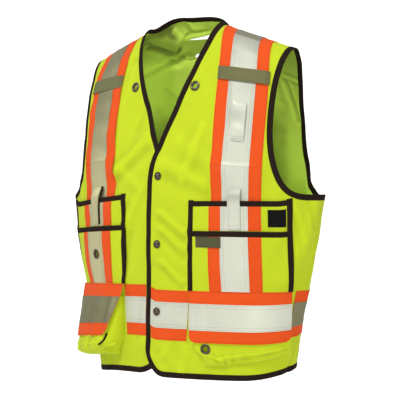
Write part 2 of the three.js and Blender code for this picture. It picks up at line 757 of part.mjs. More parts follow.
// Waist band
const around = BAND_HEIGHTS.map((h) => {
  const behind = back.find((row) => row[8].h === h);
  const [left, right] = SIDES.map((side) => fronts[side][rowAt(h)].slice(TAPE_COLUMN + 4));
  return [...left, ...behind, ...right.reverse()];
});
add("waist_band_orange_around", shell(around, ...ORANGE_OFF), "orange");
add("waist_band_silver_around", shell(around.slice(1, 3), ...SILVER_OFF), "silver");

function bandMiddle(side) {
  const from = side > 0 ? BIND + GAP - LAP.left : LAP.left + 4;
  const stops = side > 0 ? [0, ...EDGE_SHARES, 1] : [0, 0.5, 1];
  return BAND_HEIGHTS.map((h) =>
    stops.map((f) => {
      const x = lerp(from, POCKET_IN[SIDE_NAME[side]] - 3, f);
      return spot(side * angleAtX(x, h), h, lapLift(side, x));
    })
  );
}
for (const side of SIDES) {
  const grid = bandMiddle(side);
  add(`waist_band_orange_front_${SIDE_NAME[side]}`, shell(grid, ...ORANGE_OFF), "orange");
  add(`waist_band_silver_front_${SIDE_NAME[side]}`, shell(grid.slice(1, 3), ...SILVER_OFF), "silver");
}

// Chest pockets: two stacked layers, each open at the top and standing off its backing
const POCKET_BULGE = { left: 11, right: 12 };
const SECOND_BULGE = 8;
const HUMP = [
  { girth: 84, lift: 0 },
  { girth: 123, lift: 0.8 },
  { girth: 175, lift: 1 },
  { girth: 228, lift: 0.8 },
  { girth: 288, lift: 0 },
];
const SAG = { back: 30, front: 20, power: 0.6 };
const hump = (girth) => Math.max(along(HUMP, girth, "lift", "girth"), 0);
function backLayerOff(side, girth, z) {
  const sag = smoothstep(z, POCKET.bottom - SAG.back, POCKET.top) ** SAG.power;
  return 2 * GAP + POCKET_BULGE[SIDE_NAME[side]] * hump(girth) * sag;
}
function frontLayerOff(side, girth, z) {
  const sag = smoothstep(z, POCKET.bottom - SAG.front, POCKET.front_top) ** SAG.power;
  return backLayerOff(side, girth, z) + POCKET_CLOTH + 2 * GAP + SECOND_BULGE * hump(girth) * sag;
}
const innerTrim = (side) => [0, BIND].map((v) => POCKET_IN[SIDE_NAME[side]] + v);
const OUTER_TRIM = [FRONT_LINE.pocket_out - BIND, FRONT_LINE.pocket_out];
const TAPE_GIRTHS = TAPE_LINES.map((name) => FRONT_LINE[name]);
const pocketGirths = (side) => [...innerTrim(side), ...TAPE_GIRTHS, ...OUTER_TRIM];
const LIP = 10.5;
const BACK_LIP = [POCKET.top - LIP, POCKET.top];
const FRONT_LIP = [POCKET.front_top - LIP, POCKET.front_top];
const LOW_ROWS = [POCKET.bottom, -500, -461];
const BACK_ROWS = [...LOW_ROWS, POCKET.front_top, -395, ...BACK_LIP];
const FRONT_ROWS = [...LOW_ROWS, ...FRONT_LIP];
const layerGrid = (side, girths, rows, off) =>
  rows.map((z) => girths.map((g) => frontSpot(side, g, z, off(side, g, z))));

const POCKET_EYELET = { girth: 171, z: -479 };
const pocketEyelet = (() => {
  const { girth, z } = POCKET_EYELET;
  return frontSpot(-1, girth, z, frontLayerOff(-1, girth, z) + POCKET_CLOTH);
})();

const onPocket = (pair) => pair.map((v) => v + POCKET_CLOTH);
const TRIM_OFF = onPocket([GAP + 1.2, GAP]);
const lipGirths = (side) => [innerTrim(side)[1] + 0.8, ...TAPE_GIRTHS, OUTER_TRIM[0] - 0.8];
const SIDE_ROWS = [...LOW_ROWS, POCKET.front_top + 1, POCKET.front_top + 14, ...BACK_LIP];
function sideTrimOff(side, girth, z) {
  if (z > POCKET.front_top + 7) return backLayerOff(side, girth, z);
  return frontLayerOff(side, girth, Math.min(z, POCKET.front_top));
}

for (const side of SIDES) {
  const name = SIDE_NAME[side];
  const rear = layerGrid(side, pocketGirths(side), BACK_ROWS, backLayerOff);
  const fore = layerGrid(side, pocketGirths(side), FRONT_ROWS, frontLayerOff);
  const pierce = (g) => (side < 0 ? cut(g, [drill(pocketEyelet, 6)]) : g);
  add(`chest_pocket_back_layer_${name}`, shell(rear, POCKET_CLOTH, 0), "lime");
  add(`chest_pocket_front_layer_${name}`, pierce(shell(fore, POCKET_CLOTH, 0)), "lime");

  const rearRows = [POCKET.front_top + 1, -395, BACK_LIP[0] - 3 * GAP];
  const foreRows = [...LOW_ROWS, FRONT_LIP[0] - 3 * GAP];
  const rearTape = layerGrid(side, TAPE_GIRTHS, rearRows, backLayerOff);
  const foreTape = layerGrid(side, TAPE_GIRTHS, foreRows, frontLayerOff);
  const rearSilver = rearTape.map((row) => row.slice(1, 3));
  const foreSilver = foreTape.map((row) => row.slice(1, 3));
  add(`pocket_tape_orange_upper_${name}`, shell(rearTape, ...onPocket(ORANGE_OFF)), "orange");
  add(`pocket_tape_silver_upper_${name}`, shell(rearSilver, ...onPocket(SILVER_OFF)), "silver");
  add(`pocket_tape_orange_lower_${name}`, pierce(shell(foreTape, ...onPocket(ORANGE_OFF))), "orange");
  add(`pocket_tape_silver_lower_${name}`, pierce(shell(foreSilver, ...onPocket(SILVER_OFF))), "silver");

  // Bound edges: the layers' tops, and the pocket's sides over both layers
  const upperLip = layerGrid(side, lipGirths(side), BACK_LIP, backLayerOff);
  const lowerLip = layerGrid(side, lipGirths(side), FRONT_LIP, frontLayerOff);
  const inner = layerGrid(side, innerTrim(side), SIDE_ROWS, sideTrimOff);
  const outer = layerGrid(side, OUTER_TRIM, SIDE_ROWS, sideTrimOff);
  add(`pocket_binding_top_${name}`, shell(upperLip, ...TRIM_OFF), "binding");
  add(`pocket_binding_front_${name}`, shell(lowerLip, ...TRIM_OFF), "binding");
  add(`pocket_binding_inner_${name}`, shell(inner, ...TRIM_OFF), "binding");
  add(`pocket_binding_outer_${name}`, shell(outer, ...TRIM_OFF), "binding");
}
add("pocket_eyelet_right", eyelet(pocketEyelet, SILVER_OFF[0] + 2 * GAP), "metal");

// Cargo pockets under the waist: a bag that stands off the body and a marked flap over it
const FLAP_OFF = [
  { z: -660, left: 13, right: 44 },
  { z: -641, left: 12.5, right: 39 },
  { z: -617, left: 10.5, right: 31 },
  { z: -565, left: 5, right: 13 },
  { z: -540, left: 1.6, right: 5 },
];
const SWAY = { left: 4, right: 20, from_z: -545, full_z: -650 };
const sway = (side, z) => SWAY[SIDE_NAME[side]] * smoothstep(-z, -SWAY.from_z, -SWAY.full_z);
const flapOff = (side, z) => along(FLAP_OFF, z, SIDE_NAME[side]);
const FLAP_IN = { left: 79, right: 86 };
const FLAP_MARKS = [96, 123, 148, 203, 228, 268, 286];
const FLAP_ROWS = [
  { z: BAND.bottom, inset: 8 },
  { z: -635, inset: 1.5 },
  { z: BAND.silver_bottom, inset: 0 },
  { z: BAND.silver_top, inset: 0 },
  { z: BAND.top - 2, inset: 0 },
];
function flapGrid(side) {
  const girths = [FLAP_IN[SIDE_NAME[side]], ...FLAP_MARKS];
  return FLAP_ROWS.map((r) =>
    girths.map((g, k) => {
      const nudge = k === 0 ? r.inset : k === girths.length - 1 ? -r.inset : 0;
      return frontSpot(side, g + nudge + sway(side, r.z), r.z, flapOff(side, r.z));
    })
  );
}

// Bag rows: height, and how far it stands off as a share of the flap; the base row lies on the panel
const BAG_ROWS = [
  { z: -697, share: 0 },
  { z: -690, share: 0.62 },
  { z: -678, share: 1 },
  { z: -660, share: 1.06 },
  { z: -641, share: 1 },
  { z: -635, share: 1 },
  { z: -617, share: 1 },
  { z: -565, share: 1 },
];
const BAG_GIRTHS = [88, 96, 123, 148, 203, 228, 268, 280];
const BAG_UNDER = 0.7;
const BAG_FLUSH = 2 * GAP + POCKET_CLOTH;
const DROOP = { from_z: -645, full_z: -690, right: 14, left_inner: -6, left_outer: 22 };
function bagDroop(side, girth, z) {
  const share = (girth - BAG_GIRTHS[0]) / (BAG_GIRTHS[BAG_GIRTHS.length - 1] - BAG_GIRTHS[0]);
  const full = side > 0 ? lerp(DROOP.left_inner, DROOP.left_outer, share) : DROOP.right;
  return full * smoothstep(-z, -DROOP.from_z, -DROOP.full_z);
}
function bagGrid(side) {
  const points = BAG_ROWS.map((r) =>
    BAG_GIRTHS.map((g, k) => {
      const rim = k === 0 || k === BAG_GIRTHS.length - 1;
      const foot = r.share === 0 ? BAG_FLUSH + 0.8 : BAG_FLUSH;
      const out = Math.max((flapOff(side, r.z) - BAG_UNDER) * r.share, BAG_FLUSH + 0.4);
      const move = rim ? 0 : sway(side, r.z);
      const h = r.z + bagDroop(side, g, r.z);
      return frontSpot(side, g + move, h, rim || r.share === 0 ? foot : out).p;
    })
  );
  const at = (j, k) => points[clamp(j, 0, points.length - 1)][clamp(k, 0, BAG_GIRTHS.length - 1)];
  return points.map((row, j) =>
    row.map((p, k) => {
      const across = at(j, k + 1).clone().sub(at(j, k - 1));
      const up = at(j + 1, k).clone().sub(at(j - 1, k));
      return { p, n: across.cross(up).multiplyScalar(side).normalize() };
    })
  );
}
const CARGO_EYELET = { girth: 116, z: -653 };
const bagEyelet = (() => {
  const { girth, z } = CARGO_EYELET;
  return frontSpot(1, girth, z, flapOff(1, z) - BAG_UNDER);
})();
for (const side of SIDES) {
  const name = SIDE_NAME[side];
  const bag = shell(bagGrid(side), 0, -POCKET_CLOTH);
  add(`cargo_pocket_${name}`, side > 0 ? cut(bag, [drill(bagEyelet, 5)]) : bag, "lime");
  const flap = flapGrid(side);
  add(`cargo_flap_${name}`, shell(flap, POCKET_CLOTH, 0), "lime");
  add(`cargo_flap_orange_${name}`, shell(flap, ...onPocket(ORANGE_OFF)), "orange");
  add(`cargo_flap_silver_${name}`, shell(flap.slice(2, 4), ...onPocket(SILVER_OFF)), "silver");
}
add("cargo_eyelet_left", eyelet(bagEyelet, 1.2), "metal");

// Microphone tabs
const TAB = { heights: [-128, -103], reach: 51, raised: 26, lean: 4, lift: 2, top: 1.4, bottom: 0.2 };
function tabGrid(side) {
  return TAB.heights.map((z) =>
    [-TAB.reach, -TAB.raised, TAB.raised, TAB.reach].map((across) => {
      const x = tapeAcross(0.5, zHeight(150, z), side) + across;
      const h = zHeight(side * x, z - (TAB.lean * across) / TAB.reach);
      const lift = Math.abs(across) < TAB.reach ? TAB.lift : 0;
      return spot(side * angleAtX(x, h), h, TOP_OFF + lift);
    })
  );
}
for (const side of SIDES) {
  add(`mic_tab_${SIDE_NAME[side]}`, shell(tabGrid(side), TAB.top, TAB.bottom), "webbing");
}

// Chest loop: stands off between its sewn ends
const WEB_THICK = 1.2;
const LOOP_HALF = 13;
const LOOP_ROWS = [
  { z: -246, off: 0.8 },
  { z: -238, off: 4.3 },
  { z: -206, off: 5.8 },
  { z: -176, off: 4.3 },
  { z: -168, off: 0.8 },
];
const loopGrid = LOOP_ROWS.map((r) =>
  [-LOOP_HALF, LOOP_HALF].map((across) => {
    const h = zHeight(170, r.z);
    return spot(angleAtX(tapeAcross(0.5, h, 1) + across, h), h, TOP_OFF + r.off);
  })
);
add("chest_loop_left", shell(loopGrid, WEB_THICK, 0), "silver");

// Straps that hold the chest pockets shut: from the shoulder tape down over the pocket's top
const STRAP_GIRTHS = [161, 189];
const STRAP_ROWS = [
  { z: -338, off: TOP_OFF + 0.5, on_pocket: false },
  { z: -350, off: TOP_OFF + 8.5, on_pocket: false },
  { z: -361, off: 3.1, on_pocket: true },
  { z: -375, off: 3.1, on_pocket: true },
  { z: -398, off: TOP_OFF + 0.5, on_pocket: true },
  { z: -418, off: TOP_OFF + 0.5, on_pocket: true },
];
function strapGrid(side) {
  const wide = FRONT_LINE.silver_out - FRONT_LINE.silver_in;
  return STRAP_ROWS.map((r) =>
    STRAP_GIRTHS.map((g) => {
      const under = r.on_pocket ? backLayerOff(side, g, Math.min(r.z, POCKET.top)) + POCKET_CLOTH : 0;
      if (r.z <= UNDERARM_Z) return frontSpot(side, g, r.z, under + r.off);
      const h = zHeight(side * 170, r.z);
      const x = tapeAcross((g - FRONT_LINE.silver_in) / wide, h, side);
      return spot(side * angleAtX(x, h), h, under + r.off);
    })
  );
}
for (const side of SIDES) {
  add(`pocket_strap_${SIDE_NAME[side]}`, shell(strapGrid(side), WEB_THICK, 0), "silver");
}

// Snaps down the centre of the lapped edge
const SNAP_PROFILE = [[0, 0], [7.6, 0], [7.6, 1.2], [6.4, 3], [3.6, 4.2], [0, 4.6]];
const SNAP_X = 4;
const SNAPS = [
  { name: "snap_upper", z: -313, off: 0.6 },
  { name: "snap_middle", z: -450, off: 0.6 },
  { name: "snap_lower", z: -585, off: TOP_OFF + 0.2 },
];
for (const snap of SNAPS) {
  const h = zHeight(SNAP_X, snap.z);
  const seat = spot(angleAtX(SNAP_X, h), h, lapLift(1, SNAP_X));
  add(snap.name, turned(SNAP_PROFILE, ROUND_STEPS, seat, snap.off), "metal");
}

// Plain sewn patches on the wearer's left pocket
const PATCH_THICK = 0.8;
const CHEST_PATCH = { girths: [238, 272], heights: [-413, -380] };
const POCKET_PATCH = { girths: [96, FRONT_LINE.tape_in, 147], heights: [-454, -434] };
const patchGrid = (patch, off) =>
  patch.heights.map((z) => patch.girths.map((g) => frontSpot(1, g, z, off(g, z))));
const onBackLayer = (g, z) => backLayerOff(1, CHEST_PATCH.girths[0], z) + POCKET_CLOTH + 2 * GAP;
const onFrontTape = (g, z) => {
  return frontLayerOff(1, Math.max(g, FRONT_LINE.tape_in), z) + POCKET_CLOTH + TOP_OFF;
};
add("chest_patch", shell(patchGrid(CHEST_PATCH, onBackLayer), PATCH_THICK, 0), "black");
add("pocket_patch", shell(patchGrid(POCKET_PATCH, onFrontTape), PATCH_THICK, 0), "olive");

export default vest;
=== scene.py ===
import math

import bpy
import numpy as np
from mathutils.bvhtree import BVHTree
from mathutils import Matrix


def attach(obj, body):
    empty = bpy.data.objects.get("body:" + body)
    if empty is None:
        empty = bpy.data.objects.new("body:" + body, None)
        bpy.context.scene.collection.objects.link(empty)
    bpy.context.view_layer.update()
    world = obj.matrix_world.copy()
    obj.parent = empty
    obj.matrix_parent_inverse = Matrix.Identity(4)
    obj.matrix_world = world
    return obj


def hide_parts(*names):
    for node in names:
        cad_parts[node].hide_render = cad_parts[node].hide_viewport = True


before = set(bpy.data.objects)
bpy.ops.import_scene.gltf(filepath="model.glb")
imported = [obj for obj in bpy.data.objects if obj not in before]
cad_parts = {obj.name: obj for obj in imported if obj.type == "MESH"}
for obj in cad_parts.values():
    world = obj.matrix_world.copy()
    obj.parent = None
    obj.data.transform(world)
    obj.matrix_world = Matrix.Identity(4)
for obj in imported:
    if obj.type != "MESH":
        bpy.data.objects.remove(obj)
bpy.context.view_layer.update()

# Surveyor safety vest as worn. Sizes are millimetres until a mesh is made, the front faces -Y,
# the wearer's left is +X, and side is 1 for the wearer's left and -1 for the right. In the functions,
# q is a girth angle with 0 at the centre front, h a height along the cloth, u the share of the rise from
# the underarm to the shoulder line, and p and n are points and outward normals.
MM = 0.001
QUARTER = math.pi / 2
SIDES = ((1, "left"), (-1, "right"))

# Body sizes: those of the solids, with the hem, neck, shoulders and armholes fitted closer to the photograph
SQUARENESS = 2.05
UNDERARM_Z = -363
UNDERARM_LIFT, UNDERARM_FADE, UNDERARM_CORNER = 13, 60, (250, 306)
HEM_Z = -716
HEM_CORNER = {1: 45, -1: 70}
HEM_SIDE_RISE = {1: 17, -1: -13}
SIDE_LIFT = {1: (0.85, 1.8), -1: (0.3, 1.3)}
SIDE_LIFT_Z = -480
BACK_HEM_SHARE, BACK_HEM_TURN = 0.5, (2.2, 3.1)
NECK_HALF = 90
NECK_SHIFT = 6
NECK_Y = -44
NECK_RISE = 42
NECK_ROUND = {1: 2.5, -1: 3.6}
BACK_NECK_DIP = 0.05
TIP_HALF = 250
TIP_Y, PAST_TIP = -10, 1.2
TIP_DROP = {1: 61, -1: 52}
NECK_STEP = 6
NECK_STEP_RUN = 15
V_RISE = 0.27
V_EASE = 38
V_STRAIGHT = 0.38
LAP = {1: 24, -1: 18}
LAP_LIFT = 3.6
LAP_FADE = (30, 75)
CHEST_TURN = {"middle": 1.7, "side": 2.5, "from": 70, "over": 90}
BACK_TURN = 2.5
TAPE_LEAN, LEAN_POWER = 14, 2.5
TAPE_BOW = 9
FLARE_FROM = 0.55

# Cloth thicknesses and trim
CLOTH = 1.2
POCKET_CLOTH = 1.1
ORANGE_THICK = 0.7
SILVER_THICK = 0.5
LAYER_GAP = 0.35
BIND = 12
POCKET_BIND = 11
BIND_THICK = 3.2

# Body sections: height, half width, front depth, back depth
SECTIONS = (
    (-716, 232, 137, 125),
    (-641, 246, 138, 115),
    (-541, 268, 138, 105),
    (-460, 286, 138, 102),
    (-363, 306, 137, 100),
)

# How the wearer's right front hangs higher: height, lift, tilt
RIGHT_HANG = ((-716, 0, 2), (-541, 4, 3), (-422, 5, 5), (-363, 5, 9), (-250, 0, 0))
HANG_SIDE, HANG_FADE, HANG_CENTRE, HANG_LEVEL_X, HANG_TILT_RUN = 300, 60, 20, 177, 95

# Armhole edges: narrowest half width, how far up the corner reaches, corner power
ARM_FRONT = (240, 0.5, 2.2)
ARM_BACK = (229, 0.5, 2.6)

# Girth lines on the front from the centre, and on the back from the centre back
FRONT_LINE = {"tape_in": 123, "silver_in": 148, "silver_out": 203, "tape_out": 228}
BACK_LINE = {"tape_in": 98, "silver_in": 122, "silver_out": 177, "tape_out": 202}
POCKET_IN, POCKET_OUT = {1: 76, -1: 84}, 288
BAND_TOP, BAND_SILVER_TOP, BAND_SILVER_BOTTOM, BAND_BOTTOM = -541, -565, -617, -641
POCKET_TOP, POCKET_FRONT_TOP, POCKET_BOTTOM = -363, -422, -540

# Folds in the cloth: girth angle and height of both ends, width, depth
FOLD_RADIUS = 200
FOLDS = (
    (84, -372, 66, -520, 20, 5.0),
    (-84, -380, -78, -520, 22, 5.0),
    (-66, -372, -66, -610, 34, 6.0),
    (106, -388, 108, -590, 26, -8.0),
    (8, -262, 24, -352, 22, -4.0),
    (-6, -262, -24, -350, 22, -4.0),
    (128, -392, 140, -520, 34, -4.0),
    (-128, -380, -150, -520, 34, 6.0),
    (172, -300, 168, -520, 30, -5.0),
    (-166, -650, -168, -716, 34, 5.0),
    (140, -650, 142, -716, 34, 5.0),
)
CREASES = (
    (2, -385, 12, -423, 8, 4.2),
    (2, -400, 12, -438, 9, -3.1),
    (3, -418, 12.5, -457, 8, 4.2),
    (3, -434, 12.5, -473, 9, -3.1),
    (3, -484, 12, -522, 8, 3.9),
    (4, -500, 12, -532, 8, -2.8),
    (3, -318, 19, -338, 10, 3.9),
    (5, -336, 24, -358, 10, -3.5),
    (10, -290, 28, -320, 12, 3.1),
    (-6, -288, -23, -326, 9, 4.2),
    (-6, -306, -23, -344, 10, -3.5),
    (-20, -322, -8, -356, 9, 3.1),
    (-10, -372, -17, -420, 9, 3.5),
    (-14, -440, -19, -520, 8, -2.8),
    (3, -650, 14, -700, 11, 1.6),
    (20, -655, 30, -712, 9, -1.4),
    (62, -360, 76, -440, 9, 2),
    (70, -352, 84, -420, 8, -1.8),
    (80, -430, 72, -535, 10, 1.8),
    (86, -560, 78, -640, 9, 1.6),
    (92, -500, 89, -640, 12, 2.2),
    (98, -380, 112, -470, 12, 2.4),
    (-70, -370, -80, -450, 10, 2),
    (-94, -400, -104, -520, 12, 2.2),
    (28, -130, 34, -230, 12, 1.4),
    (-18, -160, -24, -240, 12, 2.6),
    (48, -180, 40, -300, 10, -1.4),
    (150, -230, 170, -340, 16, 3.6),
    (-150, -220, -172, -330, 16, 3.6),
    (176, -110, 160, -200, 14, 3),
    (-165, -120, -178, -260, 14, -3.2),
    (-147, -136, -162, -130, 6, 7),
    (-162, -130, -171, -155, 6, 7),
    (-160.5, -31, -167, -113, 11, -9.8),
    (-156, -65, -166, -122, 9, 7),
    (-172.5, -111, 179, -112, 5, 4.9),
    (-173, -80, -174.5, -108, 5, 4.2),
    (-168.5, -78, -170, -108, 5, -4.2),
    (143, -165, 137.5, -233, 6, 4.5),
    (142.5, -153, 134.5, -156, 5, -3.5),
    (150, -262, 150, -330, 18, 5),
    (118, -260, 130, -350, 12, -4.5),
    (16, -556, 17, -644, 5, -2.6),
    (-10, -556, -11, -644, 6, -2),
    (158, -560, 176, -690, 16, 2.4),
    (-150, -580, -160, -700, 16, 2.2),
)

# Ranges that the small creases are drawn from; the slant is in radians
CREASE_SEED, CREASE_COUNT = 11, 90
CREASE_Z, CREASE_LENGTH, CREASE_SLANT = (-680, -60), (40, 120), (-0.8, 0.8)
CREASE_DEPTH, CREASE_WIDTH = (0.9, 2.3), (6, 13)


def scattered_creases():
    """Small creases all round, the same on every run: mostly upright, some slanting."""
    draw = np.random.default_rng(CREASE_SEED)
    rows = []
    for _ in range(CREASE_COUNT):
        deg, z = draw.uniform(-180, 180), draw.uniform(*CREASE_Z)
        length, slant = draw.uniform(*CREASE_LENGTH), draw.uniform(*CREASE_SLANT)
        to_deg = deg + math.degrees(length * math.sin(slant) / FOLD_RADIUS)
        depth = draw.uniform(*CREASE_DEPTH) * draw.choice((-1, 1))
        width = draw.uniform(*CREASE_WIDTH)
        rows.append((deg, z, to_deg, z - length * math.cos(slant), width, depth))
    return tuple(rows)


ALL_FOLDS = FOLDS + CREASES + scattered_creases()

# Share of the folds left at the shoulders, and slow ripples: waves round and up the cloth, phase, depth
TOP_FOLDS, TOP_FADE = 0.12, (-62, -18)
RIPPLES = ((5, 0.026, 0.0, 0.7), (9, -0.042, 1.3, 0.45), (4, 0.094, 2.1, 0.35))


# Surface of the worn vest
def smooth(v, low, high):
    t = np.clip((np.asarray(v, float) - low) / (high - low), 0, 1)
    return t * t * (3 - 2 * t)


def mix(a, b, t):
    return a + (b - a) * t


def unit(v):
    return v / np.linalg.norm(v, axis=-1, keepdims=True)


def squared(v, power):
    """A sine or cosine bent towards the corners of a box."""
    return np.sign(v) * np.abs(v) ** power


def run_along(p):
    """Distance of each point along a path."""
    return np.concatenate([[0], np.cumsum(np.linalg.norm(np.diff(p, axis=0), axis=1))])


def along(rows, at, column):
    """Smooth curve through one column of a table whose first column rises."""
    table = np.array(rows, float)
    v, w = table[:, 0], table[:, column]
    ids = np.arange(len(v))
    up = np.minimum(ids + 1, len(v) - 1)
    down = np.maximum(ids - 1, 0)
    slope = (w[up] - w[down]) / (v[up] - v[down])
    h = np.clip(np.asarray(at, float), v[0], v[-1])
    i = np.clip(np.searchsorted(v, h) - 1, 0, len(v) - 2)
    span = v[i + 1] - v[i]
    t = (h - v[i]) / span
    level = (2 * t**3 - 3 * t**2 + 1) * w[i] + (3 * t**2 - 2 * t**3) * w[i + 1]
    return level + ((t**3 - 2 * t**2 + t) * slope[i] + (t**3 - t**2) * slope[i + 1]) * span


def neck_half(side):
    return NECK_HALF + side * NECK_SHIFT


def ridge_z(x):
    """Height of the shoulder line over x."""
    x = np.asarray(x, float)
    neck = np.where(x > 0, neck_half(1), neck_half(-1))
    out = np.abs(x) - neck
    fullness = np.where(x > 0, NECK_ROUND[1], NECK_ROUND[-1])
    inside = NECK_RISE * (1 - np.minimum(np.abs(x) / neck, 1) ** fullness)
    drop = np.where(x > 0, TIP_DROP[1], TIP_DROP[-1])
    step = NECK_STEP * (1 - np.exp(-np.maximum(out, 0) / NECK_STEP_RUN))
    return np.where(out < 0, inside, -(drop - NECK_STEP) * out / (TIP_HALF - neck) - step)


def ridge_y(x):
    t = (np.abs(x) - NECK_HALF) / (TIP_HALF - NECK_HALF)
    return NECK_Y + (TIP_Y - NECK_Y) * np.clip(t, -1, PAST_TIP)


def climb(h):
    return np.clip(1 - np.asarray(h, float) / UNDERARM_Z, 0, 1)


def rise_of(h):
    return np.sin(climb(h) * QUARTER)


def height_at_rise(u):
    return UNDERARM_Z * (1 - np.arcsin(np.clip(u, 0, 1)) / QUARTER)


def z_height(x, z):
    """Height along the cloth of a point known by x and z."""
    z = np.asarray(z, float)
    upper = height_at_rise((z - UNDERARM_Z) / (ridge_z(x) - UNDERARM_Z))
    return np.where(z <= UNDERARM_Z, z, upper)


def right_hang(x, h):
    reach = smooth(HANG_SIDE - np.abs(x), 0, HANG_FADE) * np.clip(-x / HANG_CENTRE, 0, 1)
    tilt = along(RIGHT_HANG, h, 2) * (HANG_LEVEL_X - np.abs(x)) / HANG_TILT_RUN
    return np.where(x < 0, (along(RIGHT_HANG, h, 1) + tilt) * reach, 0)


def skin(q, h):
    """Point of the smooth body at a girth angle and a height along the cloth."""
    q, h = np.broadcast_arrays(np.asarray(q, float), np.asarray(h, float))
    low = np.minimum(h, UNDERARM_Z)
    front = np.cos(q) > 0
    depth = np.where(front, -along(SECTIONS, low, 2), along(SECTIONS, low, 3))
    x = along(SECTIONS, low, 1) * squared(np.sin(q), 2 / SQUARENESS)
    y = depth * np.abs(np.cos(q)) ** (2 / SQUARENESS)
    lifts = [HEM_SIDE_RISE[side] * smooth(np.abs(q), *SIDE_LIFT[side]) for side in (1, -1)]
    at_side = np.where(q > 0, *lifts)
    at_back = BACK_HEM_SHARE * (HEM_SIDE_RISE[1] + HEM_SIDE_RISE[-1]) / 2
    at_side = mix(at_side, at_back, smooth(np.abs(q), *BACK_HEM_TURN))
    rise = at_side * smooth(-h, -SIDE_LIFT_Z, -HEM_Z)
    at_arm = smooth(np.abs(x), *UNDERARM_CORNER) * np.exp(-((h - UNDERARM_Z) / UNDERARM_FADE) ** 2)
    u = rise_of(h)
    z_up = UNDERARM_Z + (ridge_z(x) - UNDERARM_Z) * u
    upper = h > UNDERARM_Z
    z = np.where(upper, z_up, h + rise)
    z = z + np.where(front, right_hang(x, np.where(upper, z_up, h)), 0) + UNDERARM_LIFT * at_arm
    outward = np.clip((np.abs(x) - CHEST_TURN["from"]) / CHEST_TURN["over"], 0, 1)
    power = np.where(front, mix(CHEST_TURN["middle"], CHEST_TURN["side"], outward), BACK_TURN)
    ridge = ridge_y(x)
    y_up = ridge + (y - ridge) * np.sqrt(np.maximum(1 - u**power, 0))
    return np.stack([x, np.where(upper, y_up, y), z], -1)


def crease_depth(x, z, dx, dz, width, depth):
    """Depth of one crease that runs by dx, dz, at points measured from its start."""
    t = np.clip((x * dx + z * dz) / (dx * dx + dz * dz), 0, 1)
    away = np.hypot(x - t * dx, z - t * dz) / width
    return depth * np.exp(-away * away)


def fold_depth(q, h):
    """How far the cloth stands out at its folds, creases and ripples."""
    px = q * FOLD_RADIUS
    total = np.zeros_like(px)
    round_girth = math.tau * FOLD_RADIUS
    for deg, z, to_deg, to_z, width, depth in ALL_FOLDS:
        turn_deg = (to_deg - deg + 180) % 360 - 180
        dx, dz = math.radians(turn_deg) * FOLD_RADIUS, to_z - z
        from_start = px - math.radians(deg) * FOLD_RADIUS
        from_start = from_start - np.round((from_start - dx / 2) / round_girth) * round_girth
        total += crease_depth(from_start, h - z, dx, dz, width, depth)
    for per_x, per_z, phase, depth in RIPPLES:
        total += depth * np.sin(q * per_x + h * per_z + phase)
    return total * mix(1, TOP_FOLDS, smooth(h, *TOP_FADE))


VALLEY_STEP, VALLEY_FULL, CREST = 6, 1.1, 0.5


def valley(q, h):
    """How far the cloth lies below what is round it, below 0 on a crest and up to 1 in a crease; it is used
    as painted shade in the creases and painted light on the crests.
    """
    turn = VALLEY_STEP / FOLD_RADIUS
    steps = ((turn, 0), (-turn, 0), (0, VALLEY_STEP), (0, -VALLEY_STEP))
    level = sum(fold_depth(q + dq, h + dh) for dq, dh in steps) / len(steps)
    return np.clip((level - fold_depth(q, h)) / VALLEY_FULL, -CREST, 1)


PROBE_TURN, PROBE_UP, LAST_H = 0.004, 2, -0.001


def spot(q, h, off=0.0):
    """Points and outward normals, moved out by off."""
    q, h = np.broadcast_arrays(np.asarray(q, float), np.asarray(h, float))
    top = np.minimum(h + PROBE_UP / 2, LAST_H)
    across = skin(q + PROBE_TURN, h) - skin(q - PROBE_TURN, h)
    up = skin(q, top) - skin(q, top - PROBE_UP)
    n = unit(np.cross(across, up))
    return skin(q, h) + n * (off + fold_depth(q, h))[..., None], n


def half_width(h):
    return along(SECTIONS, np.minimum(h, UNDERARM_Z), 1)


def x_at(q, h):
    return half_width(h) * squared(np.sin(q), 2 / SQUARENESS)


def angle_at_x(x, h, back=False):
    q = np.arcsin(np.clip(np.abs(x) / half_width(h), 0, 1) ** (SQUARENESS / 2))
    return np.where(np.asarray(x) < 0, -1, 1) * (np.pi - q if back else q)


GIRTH_STEPS = 90


def angle_at_girth(girth, h, back=False):
    """Girth angle at a distance measured round the section from its centre."""
    girth, h = np.broadcast_arrays(np.asarray(girth, float), np.asarray(h, float))
    low = np.minimum(h, UNDERARM_Z)
    q = np.linspace(0, QUARTER, GIRTH_STEPS + 1)
    x = along(SECTIONS, low, 1)[..., None] * np.sin(q) ** (2 / SQUARENESS)
    depth = along(SECTIONS, low, 3 if back else 2)[..., None]
    y = depth * np.maximum(np.cos(q), 0) ** (2 / SQUARENESS)
    run = np.cumsum(np.hypot(np.diff(x, axis=-1), np.diff(y, axis=-1)), -1)
    run = np.concatenate([np.zeros_like(run[..., :1]), run], -1)
    want = np.abs(girth)[..., None]
    i = np.clip((run < want).sum(-1, keepdims=True), 1, GIRTH_STEPS)
    before = np.take_along_axis(run, i - 1, -1)
    share = np.clip((want - before) / (np.take_along_axis(run, i, -1) - before), 0, 1)
    found = ((i - 1 + share) * QUARTER / GIRTH_STEPS)[..., 0]
    return np.where(girth < 0, -1, 1) * (np.pi - found if back else found)


